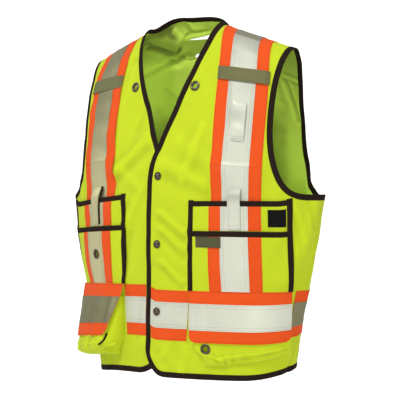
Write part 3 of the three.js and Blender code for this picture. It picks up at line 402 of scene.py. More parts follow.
def edge_x(h, side):
    """Front edge, neckline and rounded hem corner, as x on the panel's own side."""
    h = np.asarray(h, float)
    u = np.where(h > UNDERARM_Z, rise_of(h), 0)
    span = NECK_RISE - UNDERARM_Z
    below = np.where(h > UNDERARM_Z, (V_RISE - u) * span, V_RISE * span + UNDERARM_Z - h)
    front = -LAP[side] * (1 - np.exp(-np.maximum(below, 0) / V_EASE))
    up_v = np.clip((u - V_RISE) / (1 - V_RISE), 0, 1)
    neck = neck_half(side) * mix(np.sin(up_v * QUARTER), up_v, V_STRAIGHT)
    low = np.clip(1 - (h - HEM_Z) / HEM_CORNER[side], 0, 1)
    corner = HEM_CORNER[side] * (1 - np.sqrt(1 - low**2))
    return np.where(u > V_RISE, neck, front) + corner


def arm_x(u, edge):
    notch, reach, power = edge
    t = np.clip(u / reach, 0, 1)
    corner = 1 - (1 - (1 - t) ** power) ** (1 / power)
    flare = (TIP_HALF - notch) * np.clip((u - FLARE_FROM) / (1 - FLARE_FROM), 0, 1) ** 2
    return notch + (half_width(UNDERARM_Z) - notch) * corner + flare


def lap_lift(side, x):
    """The wearer's left front lies over the right one near the centre."""
    return (side > 0) * LAP_LIFT * (1 - smooth(x, *LAP_FADE))


def front_spot(side, girth, h, off=0.0):
    return spot(side * angle_at_girth(girth, h), h, off + lap_lift(side, girth))


def x_spot(side, x, h, off=0.0):
    return spot(side * angle_at_x(x, h), h, off + lap_lift(side, x))


def tape_x(line, h, side):
    """Tape line above the underarm on the front, as x on the panel's own side."""
    start = np.abs(skin(angle_at_girth(FRONT_LINE[line], UNDERARM_Z), UNDERARM_Z)[..., 0])
    bow = TAPE_BOW * np.sin(np.pi * climb(h)) ** 2 if side > 0 else 0
    return start - TAPE_LEAN * rise_of(h) ** LEAN_POWER + bow


def front_tape_q(line, h, side):
    low = angle_at_girth(FRONT_LINE[line], h)
    high = angle_at_x(tape_x(line, h, side), h)
    return side * np.where(h <= UNDERARM_Z, low, high)


def back_tape_q(line, h, side):
    low = angle_at_girth(BACK_LINE[line], h, True)
    foot = skin(angle_at_girth(BACK_LINE[line], UNDERARM_Z, True), UNDERARM_Z)[..., 0]
    high = angle_at_x(mix(foot, tape_x(line, 0, side), climb(h)), h, True)
    return side * np.where(h <= UNDERARM_Z, low, high)


# Shader helpers
def add_node(tree, kind, **settings):
    node = tree.nodes.new(kind)
    for key, value in settings.items():
        setattr(node, key, value)
    return node


def maths(tree, operation, a, b=0.5, c=0.5):
    node = add_node(tree, "ShaderNodeMath", operation=operation)
    for socket, value in zip(node.inputs, (a, b, c)):
        if isinstance(value, bpy.types.NodeSocket):
            tree.links.new(value, socket)
        else:
            socket.default_value = value
    return node.outputs[0]


def shader_group(name, inputs, outputs):
    tree = bpy.data.node_groups.new(name, "ShaderNodeTree")
    for label, value in inputs:
        socket = tree.interface.new_socket(label, in_out="INPUT", socket_type="NodeSocketFloat")
        socket.default_value = value
    for label in outputs:
        tree.interface.new_socket(label, in_out="OUTPUT", socket_type="NodeSocketFloat")
    return tree, add_node(tree, "NodeGroupInput"), add_node(tree, "NodeGroupOutput")


def noise(tree, vector, scale, detail=3.0, rough=0.55):
    node = add_node(tree, "ShaderNodeTexNoise")
    tree.links.new(vector, node.inputs["Vector"])
    if isinstance(scale, bpy.types.NodeSocket):
        tree.links.new(scale, node.inputs["Scale"])
    else:
        node.inputs["Scale"].default_value = scale
    node.inputs["Detail"].default_value = detail
    node.inputs["Roughness"].default_value = rough
    return node.outputs["Fac"]


SLUB_SCALE, THREAD_RISE, SLUB_RISE, WEAVE_SHADE = 0.35, 0.4, 0.6, (0.22, 0.84)


def weave_group():
    """Plain weave on the cloth's own UV metres: raised threads, and their light and dark."""
    tree, start, end = shader_group(
        "plain_weave", (("Threads per metre", 900.0), ("Rib", 0.0)), ("Height", "Shade"))
    uv = add_node(tree, "ShaderNodeTexCoord").outputs["UV"]
    scaled = add_node(tree, "ShaderNodeVectorMath", operation="SCALE")
    tree.links.new(uv, scaled.inputs[0])
    tree.links.new(start.outputs["Threads per metre"], scaled.inputs["Scale"])
    parts = add_node(tree, "ShaderNodeSeparateXYZ")
    tree.links.new(scaled.outputs[0], parts.inputs[0])
    warp = maths(tree, "SINE", maths(tree, "MULTIPLY", parts.outputs["X"], math.tau))
    weft = maths(tree, "SINE", maths(tree, "MULTIPLY", parts.outputs["Y"], math.tau))
    plain = maths(tree, "MULTIPLY", warp, weft)
    rib = start.outputs["Rib"]
    keep = maths(tree, "SUBTRACT", 1.0, rib)
    blend = maths(tree, "ADD", maths(tree, "MULTIPLY", plain, keep), maths(tree, "MULTIPLY", weft, rib))
    slub = maths(tree, "MULTIPLY", noise(tree, scaled.outputs[0], SLUB_SCALE, 2.0), SLUB_RISE)
    height = maths(tree, "MULTIPLY_ADD", blend, THREAD_RISE, slub)
    tree.links.new(height, end.inputs["Height"])
    tree.links.new(maths(tree, "MULTIPLY_ADD", height, *WEAVE_SHADE), end.inputs["Shade"])
    return tree


FINE_SCALE, FINE_SHARE = 160.0, 0.3


def mottle_group():
    """Slow changes of tone over the object, as from handling and dye."""
    tree, start, end = shader_group("mottle", (("Scale", 7.0), ("Amount", 0.1)), ("Tone", "Patches"))
    where = add_node(tree, "ShaderNodeTexCoord").outputs["Object"]
    wide = noise(tree, where, start.outputs["Scale"], 4.0)
    fine = noise(tree, where, FINE_SCALE, 3.0)
    both = maths(tree, "MULTIPLY_ADD", fine, FINE_SHARE, maths(tree, "MULTIPLY", wide, 1 - FINE_SHARE))
    centred = maths(tree, "SUBTRACT", both, 0.5)
    tree.links.new(maths(tree, "MULTIPLY_ADD", centred, start.outputs["Amount"], 1.0), end.inputs["Tone"])
    tree.links.new(wide, end.inputs["Patches"])
    return tree


WEAVE = weave_group()
MOTTLE = mottle_group()


def linear(colour):
    """A screen colour of 0 to 255 as the renderer's own values, with full cover."""
    shares = [v / 255 for v in colour]
    return (*(c / 12.92 if c <= 0.04045 else ((c + 0.055) / 1.055) ** 2.4 for c in shares), 1)


def use_group(tree, group, **values):
    node = add_node(tree, "ShaderNodeGroup", node_tree=group)
    for key, value in values.items():
        node.inputs[key.replace("_", " ")].default_value = value
    return node


def tinted(tree, colour, factor):
    """The colour times a changing factor."""
    node = add_node(tree, "ShaderNodeMix", data_type="RGBA", blend_type="MULTIPLY")
    node.inputs["Factor"].default_value = 1.0
    node.inputs["A"].default_value = linear(colour)
    tree.links.new(factor, node.inputs["B"])
    return node.outputs["Result"]


def bumped(tree, shader, height, strength, distance):
    node = add_node(tree, "ShaderNodeBump")
    node.inputs["Strength"].default_value = strength
    node.inputs["Distance"].default_value = distance
    tree.links.new(height, node.inputs["Height"])
    tree.links.new(node.outputs["Normal"], shader.inputs["Normal"])


def blank_material(name, **constants):
    material = bpy.data.materials.new(name)
    material.use_nodes = True
    tree = material.node_tree
    shader = tree.nodes["Principled BSDF"]
    for key, value in constants.items():
        shader.inputs[key.replace("_", " ")].default_value = value
    return material, tree, shader


def shade_factor(tree, most):
    """Painted shade: darker where the piece's shade value is high, by most where it is 1, and painted light
    where it is below 0.
    """
    shade = add_node(tree, "ShaderNodeAttribute", attribute_name="shade").outputs["Fac"]
    return maths(tree, "MULTIPLY_ADD", shade, -most, 1.0)


CLOTH_MOTTLE, WEAVE_DEPTH = 7.0, 0.25 * MM


def cloth_material(name, colour, threads, rib=0.0, glow=0.0, rough=0.85, sheen=0.04, amount=0.16,
                   relief=0.5, gloss=0.3, shaded_by=0.0):
    """Woven cloth: threads per metre, share of ribs, glow as painted light for the fluorescent dye, and
    painted shade from shaded_by.
    """
    material, tree, shader = blank_material(
        name, Roughness=rough, Sheen_Weight=sheen, Sheen_Roughness=0.5, Specular_IOR_Level=gloss)
    weave = use_group(tree, WEAVE, Threads_per_metre=threads, Rib=rib)
    mottle = use_group(tree, MOTTLE, Scale=CLOTH_MOTTLE, Amount=amount)
    tone = maths(tree, "MULTIPLY", weave.outputs["Shade"], mottle.outputs["Tone"])
    # Painted shade and painted light from the piece's shade attribute
    if shaded_by:
        tone = maths(tree, "MULTIPLY", tone, shade_factor(tree, shaded_by))
    tree.links.new(tinted(tree, colour, tone), shader.inputs["Base Color"])
    bumped(tree, shader, weave.outputs["Height"], relief, WEAVE_DEPTH)
    # Painted glow, standing in for the fluorescent dye's brightness
    if glow:
        shader.inputs["Emission Color"].default_value = linear(colour)
        shader.inputs["Emission Strength"].default_value = glow
    return material


SILVER_MOTTLE, SILVER_MOTTLE_AMOUNT = 11.0, 0.22
BEAD_SCALE, BEAD_TONE, BEAD_RISE = 2600.0, (0.16, 0.92), 0.12
CRUMPLE_SCALE, CRUMPLE_RISE, CRUMPLE_BUMP = 70.0, 1.6, (0.18, 1.2 * MM)


def silver_material(name, colour, metallic, shaded_by=0.0):
    """Bead-coated reflective tape: grey, grainy, part metallic."""
    material, tree, shader = blank_material(name, Metallic=metallic, Roughness=0.5)
    where = add_node(tree, "ShaderNodeTexCoord").outputs["Object"]
    mottle = use_group(tree, MOTTLE, Scale=SILVER_MOTTLE, Amount=SILVER_MOTTLE_AMOUNT)
    beads = noise(tree, where, BEAD_SCALE, 2.0)
    tone = maths(tree, "MULTIPLY", mottle.outputs["Tone"], maths(tree, "MULTIPLY_ADD", beads, *BEAD_TONE))
    # Painted shade from the piece's shade attribute
    if shaded_by:
        tone = maths(tree, "MULTIPLY", tone, shade_factor(tree, shaded_by))
    tree.links.new(tinted(tree, colour, tone), shader.inputs["Base Color"])
    crumple = noise(tree, where, CRUMPLE_SCALE, 4.0)
    height = maths(tree, "MULTIPLY_ADD", crumple, CRUMPLE_RISE, maths(tree, "MULTIPLY", beads, BEAD_RISE))
    bumped(tree, shader, height, *CRUMPLE_BUMP)
    return material


METAL_DARK, METAL_RUBBED, RUB_GAIN = (38, 33, 28), (128, 118, 100), 9.0
SPECKLE_SCALE, SPECKLE_WEAR, SPECKLE_ROUGH = 420.0, 0.45, (0.3, 0.14)
SPECKLE_BUMP = (0.12, 0.2 * MM)


def metal_material():
    """Dark oxidised metal, rubbed bright on the raised edges."""
    material, tree, shader = blank_material("dark_metal", Metallic=0.9)
    where = add_node(tree, "ShaderNodeTexCoord").outputs["Object"]
    edge = add_node(tree, "ShaderNodeNewGeometry").outputs["Pointiness"]
    rubbed = maths(tree, "MULTIPLY", maths(tree, "SUBTRACT", edge, 0.5), RUB_GAIN)
    speckle = noise(tree, where, SPECKLE_SCALE, 4.0)
    worn = add_node(tree, "ShaderNodeMath", operation="MULTIPLY_ADD", use_clamp=True)
    tree.links.new(speckle, worn.inputs[0])
    worn.inputs[1].default_value = SPECKLE_WEAR
    tree.links.new(rubbed, worn.inputs[2])
    blend = add_node(tree, "ShaderNodeMix", data_type="RGBA")
    tree.links.new(worn.outputs[0], blend.inputs["Factor"])
    blend.inputs["A"].default_value = linear(METAL_DARK)
    blend.inputs["B"].default_value = linear(METAL_RUBBED)
    tree.links.new(blend.outputs["Result"], shader.inputs["Base Color"])
    tree.links.new(maths(tree, "MULTIPLY_ADD", speckle, *SPECKLE_ROUGH), shader.inputs["Roughness"])
    bumped(tree, shader, speckle, *SPECKLE_BUMP)
    return material


LOOKS = {
    # Glow in the lime, orange and lime thread is painted light for the fluorescent dye; shaded_by adds
    # painted shade and light
    "lime": cloth_material("lime_oxford", (192, 210, 26), 1000, glow=0.10, shaded_by=0.16),
    # A lighter, greener copy of the lime for the inside, with its own glow: painted light where the inside
    # gets less light
    "lime_inside": cloth_material(
        "lime_oxford_inside", (206, 234, 90), 1000, glow=0.05, rough=0.9, sheen=0.0, shaded_by=0.4),
    "orange": cloth_material("orange_tape", (228, 79, 13), 1300, rib=0.6, glow=0.10, amount=0.1),
    "silver": silver_material("reflective_silver", (212, 214, 196), 0.25, shaded_by=0.35),
    # Darker, warmer copies of the silver: painted shade on tape that faces away from the lights
    "silver_off_axis": silver_material("reflective_silver_warm_painted_shade", (219, 213, 165), 0.7, shaded_by=0.56),
    "silver_shade": silver_material("reflective_silver_mid_painted_shade", (152, 150, 128), 0.5),
    "silver_dull": silver_material("reflective_silver_deep_painted_shade", (146, 143, 108), 0.8),
    "binding": cloth_material(
        "dark_braid", (38, 26, 20), 900, rib=0.85, sheen=0.0, amount=0.3, relief=0.8, gloss=0.12),
    "webbing": cloth_material("olive_webbing", (112, 112, 72), 380, rib=0.8, amount=0.25, relief=0.9),
    "metal": metal_material(),
    "black": cloth_material("black_patch", (10, 9, 10), 1500, rough=0.7, sheen=0.0, amount=0.3, gloss=0.12),
    "olive": cloth_material("olive_patch", (82, 82, 52), 1500, rough=0.7, amount=0.3),
    "thread_lime": cloth_material("thread_lime", (188, 205, 52), 2500, rib=1.0, glow=0.05),
    "thread_orange": cloth_material("thread_orange", (190, 66, 20), 2500, rib=1.0),
    "thread_dark": cloth_material("thread_dark", (40, 30, 26), 2500, rib=1.0),
    "thread_grey": cloth_material("thread_grey", (150, 150, 132), 2500, rib=1.0),
}


def make_piece(name, points, faces, uv, look, node=None, sharp=38):
    """A piece from points and UV in millimetres."""
    mesh = bpy.data.meshes.new(name)
    mesh.from_pydata((points * MM).tolist(), [], faces)
    layer = mesh.uv_layers.new(name="UVMap")
    corner = np.empty(len(mesh.loops), int)
    mesh.loops.foreach_get("vertex_index", corner)
    layer.data.foreach_set("uv", (uv[corner] * MM).astype(np.float32).ravel())
    mesh.shade_smooth()
    mesh.set_sharp_from_angle(angle=math.radians(sharp))
    mesh.materials.append(LOOKS[look])
    return place(bpy.data.objects.new(name, mesh), node)


def place(piece, node=None):
    """Puts a piece on the vest, in place of the solid named by node."""
    bpy.context.scene.collection.objects.link(piece)
    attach(piece, "root")
    if node:
        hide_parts(node)
    return piece


def grid_uv(p):
    """Millimetres across and up the cloth, from the middle column."""
    middle = p.shape[1] // 2
    across = np.stack([run_along(row) for row in p])
    across = across - across[:, middle, None]
    up = run_along(p[:, middle])[:, None]
    return np.stack([across, np.broadcast_to(up, across.shape)], -1)


def sheet(name, p, n, top, bottom, look, node=None, missing=None, lining=None, shade=None,
          shade_under=None):
    """A grid of points with normals becomes closed cloth between two offsets; missing cells stay open."""
    rows, cols = p.shape[:2]
    ids = np.arange(rows * cols).reshape(rows, cols)
    a, b = ids[:-1, :-1], ids[:-1, 1:]
    c, d = ids[1:, 1:], ids[1:, :-1]
    keep = np.ones(a.shape, bool) if missing is None else ~missing
    base = rows * cols
    quads = [np.stack([v[keep] for v in (a, b, c, d)], -1)]
    quads.append(quads[0][:, ::-1] + base)
    ring = np.pad(keep, 1)
    sides = (
        (ring[:-2, 1:-1], a, b),
        (ring[1:-1, 2:], b, c),
        (ring[2:, 1:-1], c, d),
        (ring[1:-1, :-2], d, a),
    )
    for beside, start, end in sides:
        rim = keep & ~beside
        s, e = start[rim], end[rim]
        quads.append(np.stack([e, s, s + base, e + base], -1))
    faces = np.concatenate(quads)
    inner = np.repeat([0, 1, 0], [len(quads[0]), len(quads[1]), len(faces) - 2 * len(quads[0])])
    middle = (rows // 2, cols // 2)
    facing = np.cross(p[middle] - p[middle[0], middle[1] - 1], p[middle] - p[middle[0] - 1, middle[1]])
    if np.dot(facing, n[middle]) < 0:
        faces = faces[:, ::-1]
    points = np.concatenate([(p + n * top).reshape(-1, 3), (p + n * bottom).reshape(-1, 3)])
    uv = np.tile(grid_uv(p).reshape(-1, 2), (2, 1))
    used, faces = np.unique(faces, return_inverse=True)
    piece = make_piece(name, points[used], faces.reshape(-1, 4).tolist(), uv[used], look, node)
    # Painted shade values for the outer face and the face under it, read by looks that are shaded
    if shade is not None:
        under = shade if shade_under is None else shade_under
        values = np.concatenate([shade.ravel(), under.ravel()])[used]
        layer = piece.data.attributes.new("shade", "FLOAT", "POINT")
        layer.data.foreach_set("value", values.astype(np.float32))
    if lining:
        piece.data.materials.append(LOOKS[lining])
        piece.data.polygons.foreach_set("material_index", inner.astype(np.int32))
    return piece


BAG_VALLEY_CELLS, BAG_VALLEY_FULL = 4, 0.7


def grid_valley(p, n):
    """How far each point of a grid lies below those a few cells away, as in valley; used as painted shade in
    the bags' creases and painted light on their crests.
    """
    k = BAG_VALLEY_CELLS
    wide = np.pad(p, ((k, k), (k, k), (0, 0)), mode="reflect", reflect_type="odd")
    level = (wide[2 * k:, k:-k] + wide[:-2 * k, k:-k] + wide[k:-k, 2 * k:] + wide[k:-k, :-2 * k]) / 4
    return np.clip(np.sum((level - p) * n, -1) / BAG_VALLEY_FULL, -CREST, 1)


def cell_middles(p):
    return (p[1:, 1:] + p[:-1, :-1] + p[1:, :-1] + p[:-1, 1:]) / 4


EYELET_HOLE = 7


def eyelet_holes(p, centres):
    """Cells of a grid left open under eyelets."""
    middles = cell_middles(p)
    holes = np.zeros(middles.shape[:2], bool)
    for centre in centres:
        holes |= np.linalg.norm(middles - centre, axis=-1) < EYELET_HOLE
    return holes


def even(p, n, step, loop=False):
    """Points at even steps along a path, with their normals."""
    if loop:
        p = np.concatenate([p, p[:1]])
        n = np.concatenate([n, n[:1]])
    run = run_along(p)
    at = np.linspace(0, run[-1], max(int(round(run[-1] / step)), 2) + 1)
    at = at[:-1] if loop else at
    points = np.stack([np.interp(at, run, p[:, k]) for k in range(3)], 1)
    normals = np.stack([np.interp(at, run, n[:, k]) for k in range(3)], 1)
    return points, unit(normals)


def tangents(p, loop=False):
    if loop:
        return unit(np.roll(p, -1, 0) - np.roll(p, 1, 0))
    return unit(np.gradient(p, axis=0))


def inward_of(p, n, hand, loop=False):
    return hand * unit(np.cross(tangents(p, loop), n))


def grid_tree(p):
    """The grid's surface, for finding the nearest point of the cloth."""
    rows, cols = p.shape[:2]
    ids = np.arange(rows * cols).reshape(rows, cols)
    quads = np.stack([ids[:-1, :-1], ids[:-1, 1:], ids[1:, 1:], ids[1:, :-1]], -1).reshape(-1, 4)
    return BVHTree.FromPolygons(p.reshape(-1, 3).tolist(), quads.tolist())


def calm(values, times=2):
    """Smooths a row of values along a path."""
    for _ in range(times):
        inner = (values[:-2] + 2 * values[1:-1] + values[2:]) / 4
        values = np.concatenate([values[:1], inner, values[-1:]])
    return values


SETTLE_SHARES = (0.3, 0.55, 0.8, 1.0)
SETTLE_MOST = 12


def settle(p, n, inward, width, trees):
    """How far along the normal the cloth lies under a binding, at a few shares of its width."""
    found = np.zeros((len(p), len(SETTLE_SHARES)))
    for i in range(len(p)):
        probe = (p[i] + inward[i] * width * SETTLE_SHARES[0]).tolist()
        tree = min(trees, key=lambda t: t.find_nearest(probe)[3])
        for k, share in enumerate(SETTLE_SHARES):
            at = p[i] + inward[i] * width * share
            hit = np.array(tree.find_nearest(at.tolist())[0])
            found[i, k] = np.clip(np.dot(hit - at, n[i]), -SETTLE_MOST, SETTLE_MOST)
    return calm(found)


SECTION_STEPS, SECTION_SHARP = 18, 50
SECTION_CORNER, SECTION_THIN, SECTION_THIN_FROM = 0.42, 0.22, 0.62
PUCKER, PUCKER_LENGTH = 0.08, 9.0
SLOW_PUCKER, SLOW_PUCKER_TURN = 0.6, 2.3


def binding(name, p, n, inward, node=None, loop=False, width=BIND, thick=BIND_THICK, look="binding",
            trees=()):
    """A folded braid round an edge: a rounded flat section swept along it."""
    angle = np.arange(SECTION_STEPS) * math.tau / SECTION_STEPS
    across = width / 2 * (1 - squared(np.cos(angle), SECTION_CORNER))
    off = thick / 2 * squared(np.sin(angle), SECTION_CORNER)
    off = off * (1 - SECTION_THIN * smooth(across, width * SECTION_THIN_FROM, width))
    run = run_along(p)
    wave = np.sin(run / PUCKER_LENGTH * math.tau)
    wave = wave + SLOW_PUCKER * np.sin(run / PUCKER_LENGTH * SLOW_PUCKER_TURN)
    off = off[None] * (1 + PUCKER * wave[:, None])
    if trees:
        under = settle(p, n, inward, width, trees)
        off = off + np.stack([np.interp(across, np.array(SETTLE_SHARES) * width, row) for row in under])
    points = p[:, None] + inward[:, None] * across[None, :, None]
    points = points + n[:, None] * (off - CLOTH / 2)[..., None]
    count = len(p)
    ids = np.arange(count * SECTION_STEPS).reshape(count, SECTION_STEPS)
    nxt = np.roll(ids, -1, 0) if loop else ids[1:]
    cur = ids if loop else ids[:-1]
    faces = np.stack([cur, np.roll(cur, -1, 1), np.roll(nxt, -1, 1), nxt], -1).reshape(-1, 4)
    faces = faces.tolist()
    if not loop:
        faces += [ids[0].tolist(), ids[-1].tolist()[::-1]]
    if np.dot(np.cross(inward[0], n[0]), tangents(p, loop)[0]) > 0:
        faces = [face[::-1] for face in faces]
    uv = np.stack(np.broadcast_arrays((angle * width / math.pi)[None], run[:, None]), -1).reshape(-1, 2)
    return make_piece(name, points.reshape(-1, 3), faces, uv, look, node, sharp=SECTION_SHARP)


TURN_STEPS, TURN_SHARP, TURN_UV = 40, 60, 8
TURN_START = (0.3, 0.2, 1.0)


def turned(name, profile, centre, axis, node):
    """A turned metal piece standing on a surface, its profile as radius and height."""
    side = unit(np.cross(axis, TURN_START))
    other = np.cross(axis, side)
    angle = np.arange(TURN_STEPS) * math.tau / TURN_STEPS
    ring = np.cos(angle)[:, None] * side + np.sin(angle)[:, None] * other
    profile = np.array(profile, float)
    points = centre + profile[:, 0, None, None] * ring[None] + (profile[:, 1, None] * axis)[:, None]
    count = len(profile)
    ids = np.arange(count * TURN_STEPS).reshape(count, TURN_STEPS)
    nxt = np.roll(ids, -1, 0)
    faces = np.stack([ids, np.roll(ids, -1, 1), np.roll(nxt, -1, 1), nxt], -1).reshape(-1, 4)
    up = np.cumsum(profile[:, 1])[:, None]
    uv = np.stack(np.broadcast_arrays((angle * TURN_UV)[None], up), -1).reshape(-1, 2)
    return make_piece(name, points.reshape(-1, 3), faces.tolist(), uv, "metal", node, sharp=TURN_SHARP)


# Stitching: rows of thread made by Geometry Nodes along paths on the cloth
STITCH_PITCH, STITCH_LENGTH, STITCH_THICK = 3.4, 2.7, 0.8
STITCH_VARY, STITCH_SEED = (0.88, 1.1), 4
STITCH_BALL = {"Segments": 5, "Rings": 3, "Radius": 0.5}
STITCH_SLOTS = {"dark": "binding", "grey": "silver"}
ROWS_PER_PIECE = 60
SEAMS = {}


def seam(thread, p, n, lift=0.25):
    """Notes a row of stitches along a path on the cloth."""
    SEAMS.setdefault(thread, []).append((p + n * lift, n))


def seams(thread, p, n, lift, rows=(), columns=(), short=0):
    """Stitches along some rows and columns of a grid, stopping short of its edges."""
    inner = slice(short, -short or None)
    for row in rows:
        seam(thread, p[row, inner], n[row, inner], lift)
    for column in columns:
        seam(thread, p[inner, column], n[inner, column], lift)


def stitch_tree():
    """A small flattened ball at every pitch along a path, turned with the path and the cloth."""
    tree = bpy.data.node_groups.new("stitch_rows", "GeometryNodeTree")
    face = tree.interface
    face.new_socket("Geometry", in_out="INPUT", socket_type="NodeSocketGeometry")
    for label in ("Pitch", "Length", "Thickness"):
        face.new_socket(label, in_out="INPUT", socket_type="NodeSocketFloat")
    face.new_socket("Thread", in_out="INPUT", socket_type="NodeSocketMaterial")
    face.new_socket("Geometry", in_out="OUTPUT", socket_type="NodeSocketGeometry")
    start = add_node(tree, "NodeGroupInput")
    curve = add_node(tree, "GeometryNodeMeshToCurve")
    spaced = add_node(tree, "GeometryNodeResampleCurve", mode="LENGTH")
    ball = add_node(tree, "GeometryNodeMeshUVSphere")
    for key, value in STITCH_BALL.items():
        ball.inputs[key].default_value = value
    tangent = add_node(tree, "GeometryNodeInputTangent")
    normal = add_node(tree, "GeometryNodeInputNamedAttribute", data_type="FLOAT_VECTOR")
    normal.inputs["Name"].default_value = "surface_normal"
    turn = add_node(tree, "FunctionNodeAxesToRotation", primary_axis="X", secondary_axis="Z")
    size = add_node(tree, "ShaderNodeCombineXYZ")
    vary = add_node(tree, "FunctionNodeRandomValue", data_type="FLOAT")
    vary.inputs[2].default_value, vary.inputs[3].default_value = STITCH_VARY
    vary.inputs["Seed"].default_value = STITCH_SEED
    length = add_node(tree, "ShaderNodeMath", operation="MULTIPLY")
    onto = add_node(tree, "GeometryNodeInstanceOnPoints")
    real = add_node(tree, "GeometryNodeRealizeInstances")
    paint = add_node(tree, "GeometryNodeSetMaterial")
    end = add_node(tree, "NodeGroupOutput")
    wires = (
        (start.outputs["Geometry"], curve.inputs[0]),
        (curve.outputs[0], spaced.inputs["Curve"]),
        (start.outputs["Pitch"], spaced.inputs["Length"]),
        (spaced.outputs[0], onto.inputs["Points"]),
        (ball.outputs["Mesh"], onto.inputs["Instance"]),
        (tangent.outputs[0], turn.inputs[0]),
        (normal.outputs["Attribute"], turn.inputs[1]),
        (turn.outputs[0], onto.inputs["Rotation"]),
        (vary.outputs[1], length.inputs[0]),
        (start.outputs["Length"], length.inputs[1]),
        (length.outputs[0], size.inputs["X"]),
        (start.outputs["Thickness"], size.inputs["Y"]),
        (start.outputs["Thickness"], size.inputs["Z"]),
        (size.outputs[0], onto.inputs["Scale"]),
        (onto.outputs[0], real.inputs[0]),
        (real.outputs[0], paint.inputs["Geometry"]),
        (start.outputs["Thread"], paint.inputs["Material"]),
        (paint.outputs[0], end.inputs[0]),
    )
    for out, into in wires:
        tree.links.new(out, into)
    return tree


def sew(tree, thread, rows, part):
    """One piece of stitches from some noted rows."""
    points, edges, normals = [], [], []
    for p, n in rows:
        first = len(points)
        points += (p * MM).tolist()
        normals.append(n)
        edges += [(i, i + 1) for i in range(first, first + len(p) - 1)]
    mesh = bpy.data.meshes.new("stitch_path")
    mesh.from_pydata(points, edges, [])
    layer = mesh.attributes.new("surface_normal", "FLOAT_VECTOR", "POINT")
    layer.data.foreach_set("vector", np.concatenate(normals).astype(np.float32).ravel())
    path = bpy.data.objects.new("stitch_path", mesh)
    bpy.context.scene.collection.objects.link(path)
    modifier = path.modifiers.new("stitches", "NODES")
    modifier.node_group = tree
    values = {
        "Pitch": STITCH_PITCH * MM,
        "Length": STITCH_LENGTH * MM,
        "Thickness": STITCH_THICK * MM,
        "Thread": LOOKS[thread],
    }
    for item in tree.interface.items_tree:
        if item.in_out == "INPUT" and item.name in values:
            modifier[item.identifier] = values[item.name]
    path.update_tag()
    shown = path.evaluated_get(bpy.context.evaluated_depsgraph_get())
    made = bpy.data.meshes.new_from_object(shown)
    bpy.data.objects.remove(path)
    made.shade_smooth()
    tone = thread.removeprefix("thread_")
    slot = STITCH_SLOTS.get(tone, tone)
    return place(bpy.data.objects.new(f"stitches_{slot}_{part}", made))


# Panels
FRONT_COLS, BACK_COLS = 96, 180
CORNER_ROWS, LOW_ROWS, TOP_ROWS = 20, 90, 112
BACK_LOW_ROWS, BACK_TOP_ROWS = 64, 156
CORNER_POWER, CLIMB_POWER, TOP_SHARE = 1.6, 1.25, 0.999
EDGE_INSET = 3.0
ARM_INSET, SEAM_TUCK = 0.007, 8
NECK_INSET, NECK_INSET_FADE = 0.011, 18
GUIDE_Z, GUIDE_EDGE = (-403, -303), 0.7

# Painted shade of the back's inside, painted light where below 0: height, value on the wearer's right, in
# the middle, by the left armhole
INSIDE_SHADE = (
    (-330, 1.6, 1.6, -0.9),
    (-250, 1.5, 1.5, -0.45),
    (-195, 0.6, 1.0, 0.1),
    (-165, -0.6, 0.2, 0.45),
    (-130, -0.85, 0.0, 0.7),
    (-75, -0.65, 0.2, 1.25),
    (-30, -0.1, 0.1, 0.9),
    (20, 0.0, 0.0, 0.4),
)
SHADE_RIGHT_X, SHADE_LEFT_X, SHADE_LEAST = (70, 125), (110, 200), -0.9
NECK_SHADE, NECK_SHADE_X, NECK_SHADE_Z = 1.6, (45, 75), (-75, -25)

# Slot across the upper back; only the wall behind SLOT_FRONT_Y is cut
SLOT_HALF, SLOT_RISE, SLOT_MIDDLE, SLOT_TILT = 54, 18.25, -30.75, 3.7
SLOT_HIDDEN, SLOT_POWER, SLOT_FRONT_Y = 1.5, 10, -40
WELT_WIDTH, WELT_THICK, WELT_STEP, WELT_TURNS = 9, 3.0, 2.5, 240


def climb_rows(count):
    return np.linspace(0, 1, count) ** CLIMB_POWER


def low_rows(side):
    """Heights of a front panel's rows up to the underarm, closer together in the rounded hem corner."""
    corner_rise = (HEM_CORNER[side] - EDGE_INSET) * np.linspace(0, 1, CORNER_ROWS) ** CORNER_POWER
    upper = np.linspace(HEM_Z + HEM_CORNER[side], UNDERARM_Z, LOW_ROWS)[1:]
    return np.concatenate([HEM_Z + EDGE_INSET + corner_rise, upper])


def arm_angle(h, edge):
    """Angle from the centre to the panel's side: the side seam, and above it just inside the armhole."""
    above = np.maximum(h, UNDERARM_Z)
    arm = angle_at_x(arm_x(rise_of(above) + ARM_INSET, edge) - EDGE_INSET, above)
    return mix(QUARTER, arm, smooth(h, UNDERARM_Z - SEAM_TUCK, UNDERARM_Z))


def panel_angles(first, h, edge, share):
    """Columns of a panel: even inside, and drawn in to the armhole near the side."""
    outer = arm_angle(h, edge)
    guide = mix(QUARTER, outer, smooth(h, *GUIDE_Z))
    return mix(first, guide, share) + (outer - guide) * smooth(share, GUIDE_EDGE, 1)


def front_panel(side, label, eyelet_at):
    upper = UNDERARM_Z * (1 - climb_rows(TOP_ROWS)[1:] * TOP_SHARE)
    h = np.concatenate([low_rows(side), upper])[:, None]
    first = angle_at_x(edge_x(h, side) + EDGE_INSET, h)
    q = panel_angles(first, h, ARM_FRONT, np.linspace(0, 1, FRONT_COLS)[None])
    p, n = spot(side * q, h, lap_lift(side, x_at(q, h)))
    # Painted shade in the creases and painted light on the crests; the inside takes them the other way round
    low = valley(side * q, np.broadcast_to(h, q.shape))
    sheet(f"cloth_front_{label}", p, n, 0, -CLOTH, "lime", f"front_panel_{label}",
          eyelet_holes(p, [eyelet_at]), "lime_inside", low, -low)
    return grid_tree(p)


def back_neck_rise(x):
    t = (x - NECK_SHIFT) / NECK_HALF
    return 1 - BACK_NECK_DIP * np.clip(1 - t * t, 0, 1)


def slot_lean(x):
    return SLOT_TILT * (x - NECK_SHIFT) / SLOT_HALF


